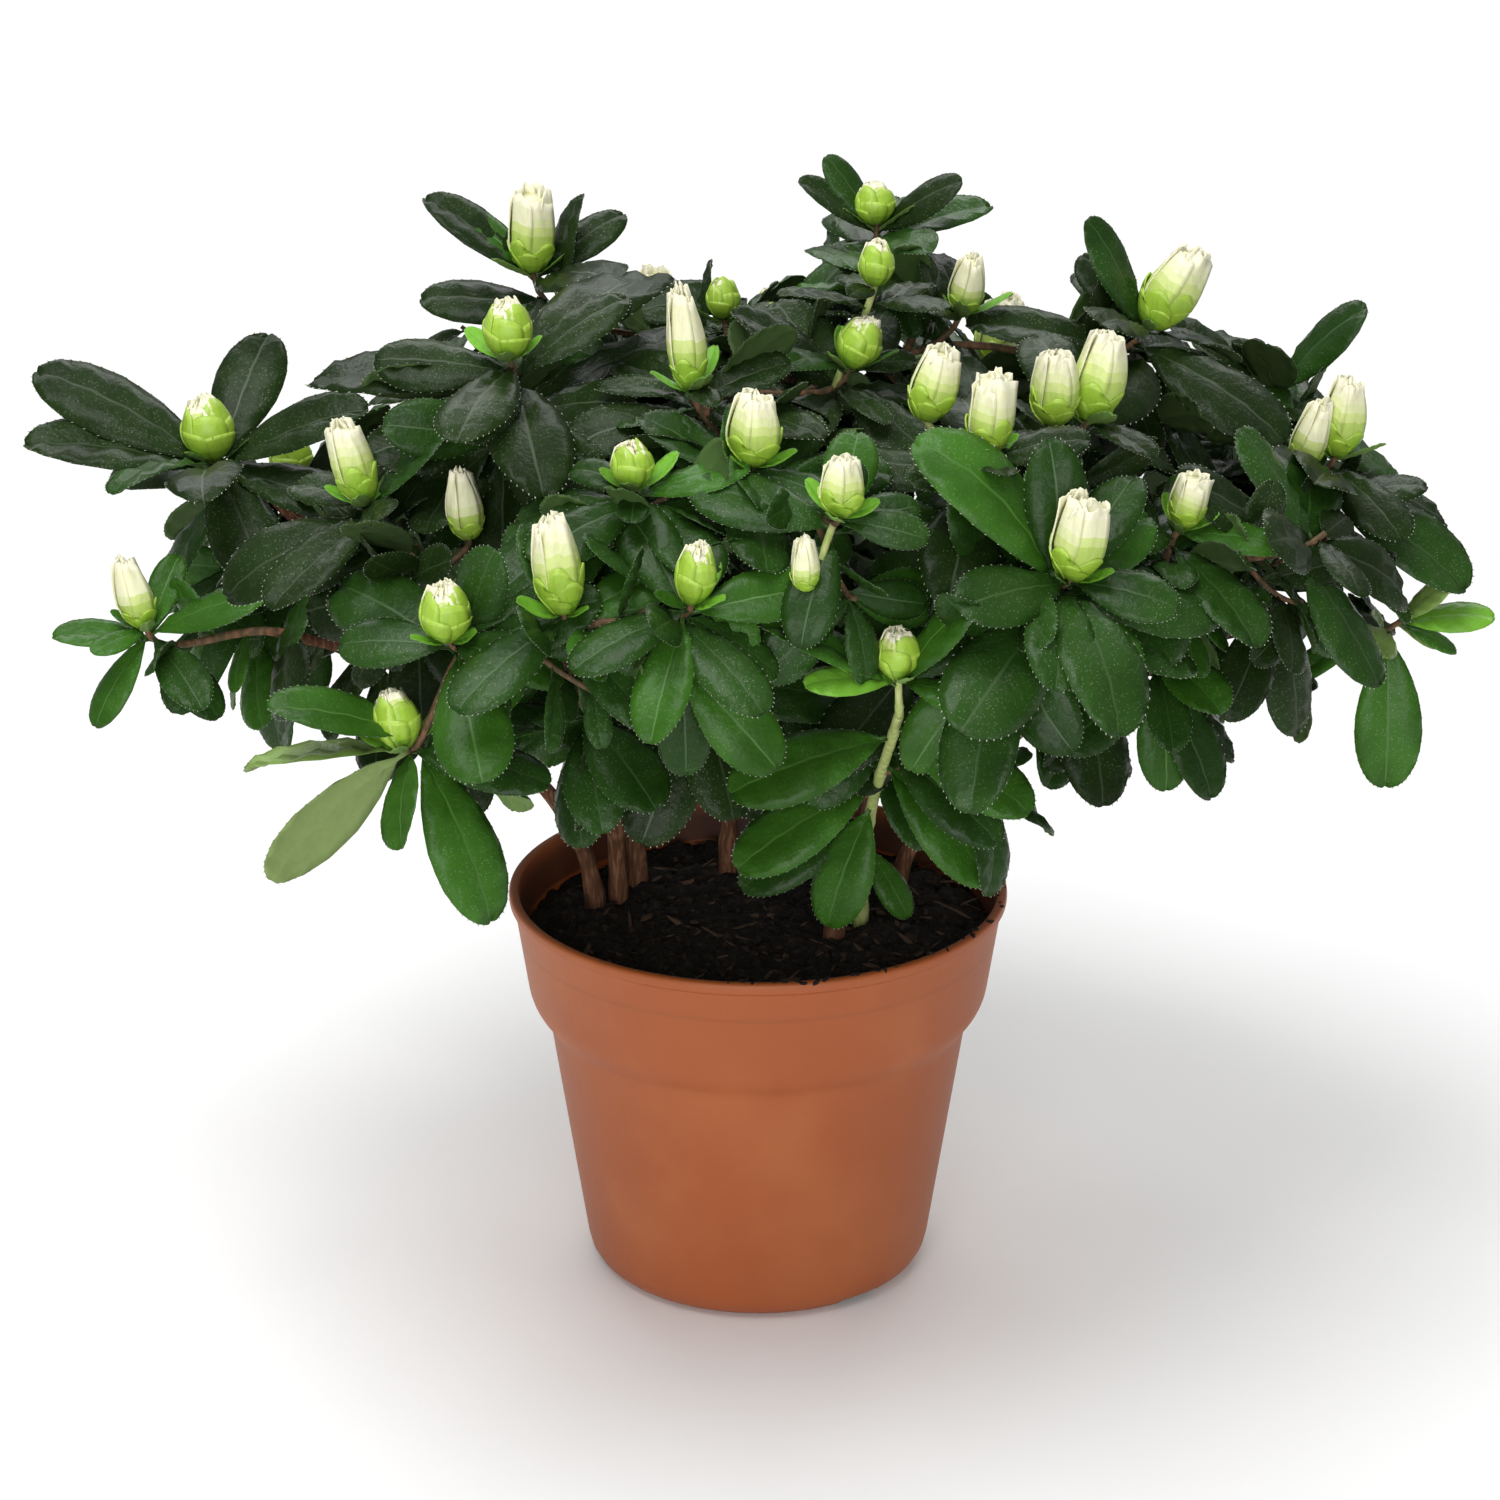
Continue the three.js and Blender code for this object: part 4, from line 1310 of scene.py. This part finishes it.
def round_twig(axis, angle):
    """A direction square to a twig."""
    side = unit(np.cross(axis, (0.31, 0.9, 0.2)))
    return math.cos(angle) * side + math.sin(angle) * np.cross(axis, side)


def any_old_shape():
    return int(chance.choice(len(OLD_SHAPES), p=OLD_SHAPES))


def to_light(spot):
    """How a leaf turns its face: to the light in front, or outwards behind."""
    if spot[1] > 0.05:
        return 0.4 * unit(spot * (1, 1, 0))
    return (0.45 + 2.5 * max(0.0, abs(spot[0]) - 0.06)) * FRONT_LIGHT


def whorl(tip, axis, mass, count, length, colour, hang, start, crowded=None):
    """Leaves round the end of a twig, the youngest highest and most upright. None grow in the
    crowded direction, where they would cover another bud."""
    for number in range(count):
        age = 1 - number / max(count - 1, 1)
        angle = start + number * GOLDEN_TURN + chance.normal(0, 0.12)
        level = round_twig(axis, angle)
        if crowded is not None and level @ crowded > 0.35:
            continue
        # A leaf on the lit front of the spray lies lower, and leaves the bud in view.
        lift = 18 * (1 - age) - 3 - 10 * hang + 14 * min(0, level[1] + 0.3) + chance.normal(0, 6)
        lift = math.radians(lift)
        heading = level * math.cos(lift) + axis * math.sin(lift)
        foot = tip - axis * (1.5 + 8 * age) * MM
        size = length * (0.55 + 0.5 * min(1, age * 1.8)) * chance.uniform(0.9, 1.15)
        facing = unit(axis + 0.5 * UP + to_light(tip) + 0.22 * chance.normal(0, 1, 3))
        add_leaf(
            colour, mass, foot, heading - UP * 0.5 * hang, facing, size, any_old_shape()
        )


def lower_leaves(path, mass, count, length, colour, hang, start):
    """Leaves one by one up the leafy end of a twig."""
    directions = np.gradient(path, axis=0)
    for number in range(count):
        share = 0.2 + 0.66 * number / max(count - 1, 1)
        i = int(share * (len(path) - 1))
        axis = unit(directions[i])
        heading = round_twig(axis, start + number * GOLDEN_TURN) + axis * 0.3 - UP * 0.6 * hang
        facing = unit(axis + 0.6 * UP + to_light(path[i]) + 0.2 * chance.normal(0, 1, 3))
        size = length * chance.uniform(0.7, 0.95)
        add_leaf(colour, mass, path[i], heading, facing, size, any_old_shape())


for bud in bud_places:
    if bud.number and bud.foot[2] > bud.twig[-1][2] + 0.01:
        colour = SPRAYS[bud.mass].colour
        whorl(bud.foot, bud.stand, bud.mass, *SECOND_WHORL, colour, 0.1, 2.0)
# The main sprig of a mass comes before its side sprigs, so they know where its tip is.
for number, (path, mass, is_main) in enumerate(sprigs):
    spray = SPRAYS.get(mass, SHADED)
    length, colour, hang = spray.leaf * MM, spray.colour, spray.hang
    axis = unit(path[-1] - path[-2])
    start = number * 1.7
    if mass is None:
        whorl(path[-1], axis, mass, 6, length, colour, hang, start)
        lower_leaves(path, mass, 3, length, colour, hang, start + 1)
        continue
    if not is_main:
        crowded = unit(main_tip - path[-1])
        whorl(path[-1], axis, mass, 8, length * 0.85, colour, hang + 0.2, start, crowded)
        lower_leaves(path, mass, 4, length * 0.8, colour, hang + 0.3, start + 1)
        continue
    main_tip = path[-1]
    whorl(path[-1], axis, mass, spray.count[0], length, colour, hang, start)
    lower_leaves(path, mass, spray.count[1] + 1, length * 0.85, colour, hang + 0.2, start + 1)
    if spray.buds:
        for i in range(YOUNG_LEAVES):
            angle = start + 0.6 + i * 2.2
            heading = np.array((math.cos(angle), math.sin(angle), 0.0)) + axis * 0.7
            foot = path[-1] - axis * 2 * MM
            size = chance.uniform(*YOUNG_SIZES) * MM
            add_leaf("young", mass, foot, heading, axis, size, LEAF_YOUNG)
    for i, (turn, rise, size, own_colour) in enumerate(spray.loose):
        level, heading = set_apart(turn, rise)
        facing = UP * math.cos(math.radians(rise)) - level * math.sin(math.radians(rise))
        if own_colour != "pale" or rise > 30:
            facing = facing + (1.0 if rise > 30 else 0.6) * FRONT_LIGHT
        elif rise < -30:
            facing = facing + np.array((0, 1.6, 0))
        foot = path[-2 - i % 4] if rise < 17 else path[-1] - axis * 3 * MM
        shape = 2 * (i % 2)
        add_leaf(own_colour, mass, foot, heading, unit(facing), size * MM, shape, APART_SLIM)

for share, turn, rise, size, own_colour in SHOOT_LEAVES:
    level, heading = set_apart(turn, rise)
    foot = shoot_path[int(share * (len(shoot_path) - 1))]
    facing = unit(UP - 0.8 * np.array((0, 1, 0)) + 0.4 * level)
    add_leaf(own_colour, None, foot, heading, facing, size * MM, 0, SHOOT_SLIM)

# Older leaves hang in the shade along the upper part of every limb.
for number, (foot, axis, _) in enumerate(limb_points[::INNER_STEP]):
    if foot[2] < INNER_LOWEST or foot[1] < INNER_FRONT:
        continue
    heading = round_twig(axis, number * GOLDEN_TURN) * 0.8 + axis * 0.2 - UP * 0.8
    facing = unit(UP + 0.8 * foot * (1, 1, 0) / 0.1 + 0.2 * chance.normal(0, 1, 3))
    size = chance.uniform(*INNER_LEAF) * MM
    add_leaf("dark", None, foot, heading, facing, size, any_old_shape())


def planted(name, spots, store, finishes):
    """Shapes from a store, one at each spot with its own turn and size."""
    base_mesh = bpy.data.meshes.new(name)
    base_mesh.from_pydata([tuple(s[0]) for s in spots], [], [])
    for key, column in (("turn", 1), ("size", 2)):
        mark = base_mesh.attributes.new(key, "FLOAT_VECTOR", "POINT")
        mark.data.foreach_set("vector", np.ravel([tuple(s[column]) for s in spots]))
    mark = base_mesh.attributes.new("shape", "INT", "POINT")
    mark.data.foreach_set("value", [s[3] for s in spots])
    recipe = Recipe(name)
    turn = recipe.attribute("turn", "FLOAT_VECTOR")
    size = recipe.attribute("size", "FLOAT_VECTOR")
    shape = recipe.attribute("shape", "INT")
    standing = recipe.placed(recipe.given.outputs["Base"], store, turn, size, shape)
    recipe.finished(standing, finishes)
    return recipe.make(name, base_mesh)


MOST_LEAVES = 320  # in one piece, which keeps it under 200,000 triangles
masses_left = set(SPRAYS)
for colour, spots in leaves.items():
    finishes = leaf_finishes(colour)
    for number in range(math.ceil(len(spots) / MOST_LEAVES)):
        share = spots[number * MOST_LEAVES : (number + 1) * MOST_LEAVES]
        piece = planted(f"leaves_{colour}_{number}", share, leaf_store, finishes)
        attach(piece, "root")
        taken = masses_left & {s[4] for s in share}
        if taken:
            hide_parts(*sorted(taken))
            masses_left -= taken

# --- Buds ------------------------------------------------------------------------------------
# Flower buds at the tips of the sprays, some still shut in their lime-green scales, most with
# the furled, frilled tips of their cream petals pushing out.
BUD_COLOURS = {
    "petal": (0.74, 0.74, 0.48),
    "petal_middle": (0.67, 0.71, 0.37),
    "petal_low": (0.56, 0.65, 0.225),
    "petal_foot": (0.42, 0.56, 0.115),
    "petal_edge": (0.78, 0.76, 0.56),
    "scale": (0.300, 0.480, 0.042),
    "scale_foot": (0.215, 0.385, 0.031),
    "scale_edge": (0.345, 0.520, 0.062),
}
BUD_PARTS = {part: number for number, part in enumerate(BUD_COLOURS)}
# A petal pales upwards, in steps that are shares of how high the scales reach.
PETAL_BANDS = ("petal_foot", "petal_low", "petal_middle", "petal")
PETAL_LEVELS = (0.72, 0.98, 1.22)
PETALS_SHUT_IN, PETALS, SCALES = 2, 5, 9
PETAL_GRID = (8, 11)  # rows and columns of its mesh
SCALE_GRID = (7, 7)
PETAL_HALF_ANGLE, SCALE_HALF_ANGLE = 69, 66
CORE_SIDES = 10


def bud_outline(level, widest, tip):
    """Radius of a bud of unit radius and height, which narrows to that share at its tip."""
    if level < widest:
        return math.sin(0.5 * math.pi * (0.14 + 0.86 * level / widest)) ** 0.7
    return 1 - (1 - tip) * ((level - widest) / (1 - widest)) ** 1.6


def bud_shape(name, seed, petal_top, scale_top, tip, widest, closed):
    """One bud of unit radius and height, standing on the origin. petal_top is how high its
    petals reach and scale_top how high its scales do. closed is 1 when the scales still wrap
    it, and 0 when they have parted."""
    rng = np.random.default_rng(seed)
    points, faces, parts = [], [], []

    def skin(centre, half_angle, low, high, offset, tilt, rounding, ragged, rows, columns):
        """A curved patch of the bud's wall: one petal or one scale, laid over the next."""
        top = np.zeros((rows, columns, 3))
        under = np.zeros_like(top)
        frill = rng.uniform(-1, 1, columns + 2)
        for i in range(rows):
            v = (i / (rows - 1)) ** 0.8
            for j in range(columns):
                u = 2 * j / (columns - 1) - 1
                reach = high - rounding * (high - low) * abs(u) ** 2 + ragged * frill[j]
                level = low + (reach - low) * v
                narrow = 1 - (0.25 if ragged else 0.55 - 0.35 * closed) * v**3
                angle = centre + math.radians(half_angle) * u * narrow
                radius = bud_outline(min(max(level, 0), 1), widest, tip) + offset + tilt * u
                if ragged:
                    radius += v * (0.07 * math.cos(5.5 * u) + 0.14 * v**4 * frill[j + 2])
                radius = max(radius, 0.12)
                spin = angle + 0.45 * level
                for grid, wall in ((top, 0.0), (under, 0.07)):
                    grid[i, j] = (
                        (radius - wall) * math.cos(spin),
                        (radius - wall) * math.sin(spin),
                        level,
                    )
        made, made_faces, spots = shell(top, under)
        first = len(points)
        points.extend(made)
        faces.extend(tuple(first + k for k in f) for f in made_faces)
        return spots

    inner = [(k * 2.1, petal_top, -0.30) for k in range(PETALS_SHUT_IN)]
    outer = [(k * 2.51, petal_top * (0.97 - 0.05 * (k % 3)), -0.02 * k) for k in range(PETALS)]
    last_row = PETAL_GRID[0] - 2
    for centre, high, offset in inner + outer:
        spots = skin(
            centre, PETAL_HALF_ANGLE, 0.06, high, offset, 0.10, 0.05, 0.035, *PETAL_GRID
        )
        for where, i, _ in spots:
            if where == "edge" or i == last_row:
                parts.append(BUD_PARTS["petal_edge"])
            else:
                bare = high * (i + 0.5) / (last_row + 1) / scale_top
                parts.append(BUD_PARTS[PETAL_BANDS[np.searchsorted(PETAL_LEVELS, bare)]])
    last_row = SCALE_GRID[0] - 2
    for scale in range(SCALES):
        high = scale_top * (0.38 + 0.62 * (scale + 1) / SCALES) + rng.uniform(-0.02, 0.02)
        offset = 0.06 + 0.007 * (SCALES - 1 - scale)
        rounding = 0.26 - 0.12 * closed
        spots = skin(
            scale * GOLDEN_TURN, SCALE_HALF_ANGLE, 0.0, high, offset, 0.05, rounding, 0, *SCALE_GRID
        )
        for where, i, _ in spots:
            if where == "edge" or i == last_row:
                parts.append(BUD_PARTS["scale_edge"])
            else:
                parts.append(BUD_PARTS["scale_foot" if i < 2 else "scale"])
    # A core fills the middle, so that nothing shows through between the tips.
    levels = np.linspace(0.0, petal_top * 0.88, 8)
    first = len(points)
    for level in levels:
        radius = 0.78 * bud_outline(level, widest, tip) - 0.06
        for angle in np.arange(CORE_SIDES) * 2 * math.pi / CORE_SIDES:
            points.append((radius * math.cos(angle), radius * math.sin(angle), level))
    for i in range(len(levels) - 1):
        low, high = first + i * CORE_SIDES, first + (i + 1) * CORE_SIDES
        for j in range(CORE_SIDES):
            k = (j + 1) % CORE_SIDES
            faces.append((low + j, low + k, high + k, high + j))
            parts.append(BUD_PARTS["petal"])
    faces.append(tuple(first + j for j in reversed(range(CORE_SIDES))))
    faces.append(tuple(len(points) - CORE_SIDES + j for j in range(CORE_SIDES)))
    parts += [BUD_PARTS["petal"]] * 2
    piece = mesh_piece(name, points, faces)
    number_parts(piece, parts)
    return piece


bud_shapes = [
    bud_shape("bud_a_cream", 3, 1.0, 0.52, 0.50, 0.42, 0),
    bud_shape("bud_b_frilled", 8, 1.0, 0.48, 0.80, 0.40, 0),
    bud_shape("bud_c_green", 13, 0.93, 0.99, 0.24, 0.45, 1),
    bud_shape("bud_d_shut", 5, 1.0, 0.93, 0.34, 0.45, 1),
    bud_shape("bud_e_white", 21, 1.0, 0.34, 0.40, 0.36, 0),
]
BUD_KINDS = ("cream", "frilled", "green", "shut", "white")
bud_spots = []
for bud in bud_places:
    side = unit(np.cross(bud.stand, round_twig(bud.stand, chance.uniform(0, 6.28))))
    turn = Matrix((side, np.cross(bud.stand, side), bud.stand)).transposed()
    bud_spots.append((bud.foot, turn.to_euler(), bud.size, BUD_KINDS.index(bud.kind)))

bud_finishes = []
for part, colour in BUD_COLOURS.items():
    finish = Finish(
        "bud_" + part, Roughness=0.5 if "petal" in part else 0.38, Specular_IOR_Level=0.4
    )
    veins = finish.mottle(700, 2.0, (1, 1, 0.25))
    finish.set(
        "Base Color", finish.blend(veins.above(0.4, 0.8), colour, tuple(c * 0.84 for c in colour))
    )
    finish.relief(veins, 0.4, 0.0003)
    bud_finishes.append(finish)
buds = planted("flower_buds", bud_spots, stock("bud_shapes", bud_shapes), bud_finishes)
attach(buds, "root")

# --- Floor, light and camera -----------------------------------------------------------------
# A plain white sweep with a light of its own, broad soft lights overhead and to the front, and a
# camera a little above the plant.
CAMERA_TARGET = Vector((-0.0021, 0, 0.1424))
CAMERA_DISTANCE = 1.2
CAMERA_RISE = math.radians(21.1)
CAMERA_LENS = 111.6
CAMERA_SENSOR = 36
FLOOR_REACH = 3
WORLD_LIGHT = 0.30

floor_corners = [
    (a * FLOOR_REACH, b * FLOOR_REACH, 0) for a, b in ((-1, -1), (1, -1), (1, 1), (-1, 1))
]
floor = mesh_piece("floor", floor_corners, [(0, 1, 2, 3)], smooth=False)
white = Finish("white_floor", Base_Color=(0.93, 0.93, 0.93), Roughness=0.9)
floor.data.materials.append(white.material)

world = bpy.data.worlds.new("studio")
world.use_nodes = True
sky = world.node_tree.nodes["Background"]
sky.inputs["Color"].default_value = (1, 1, 1, 1)
sky.inputs["Strength"].default_value = WORLD_LIGHT
bpy.context.scene.world = world


def soft_light(name, place, aim, size, power):
    lamp = bpy.data.lights.new(name, "AREA")
    lamp.shape = "RECTANGLE"
    lamp.size, lamp.size_y = size
    lamp.energy = power
    rig = in_scene(name, lamp)
    rig.location = place
    rig.rotation_euler = (Vector(aim) - Vector(place)).to_track_quat("-Z", "Y").to_euler()


soft_light("overhead", (-0.25, -0.35, 1.3), (0, 0, 0.2), (0.9, 0.8), 13)
soft_light("front_fill", (-0.1, -1.9, 0.6), (0, 0, 0.12), (1.4, 0.9), 19.5)
soft_light("backdrop", (0, 2.6, 2.2), (0, 1.7, 0), (3.5, 2.0), 72)

camera_data = bpy.data.cameras.new("camera")
camera_data.lens = CAMERA_LENS
camera_data.sensor_width = CAMERA_SENSOR
camera = in_scene("camera", camera_data)
away = Vector((0, -math.cos(CAMERA_RISE), math.sin(CAMERA_RISE)))
camera.location = CAMERA_TARGET + away * CAMERA_DISTANCE
camera.rotation_euler = (-away).to_track_quat("-Z", "Y").to_euler()
bpy.context.scene.camera = camera
bpy.context.scene.view_settings.view_transform = "Standard"
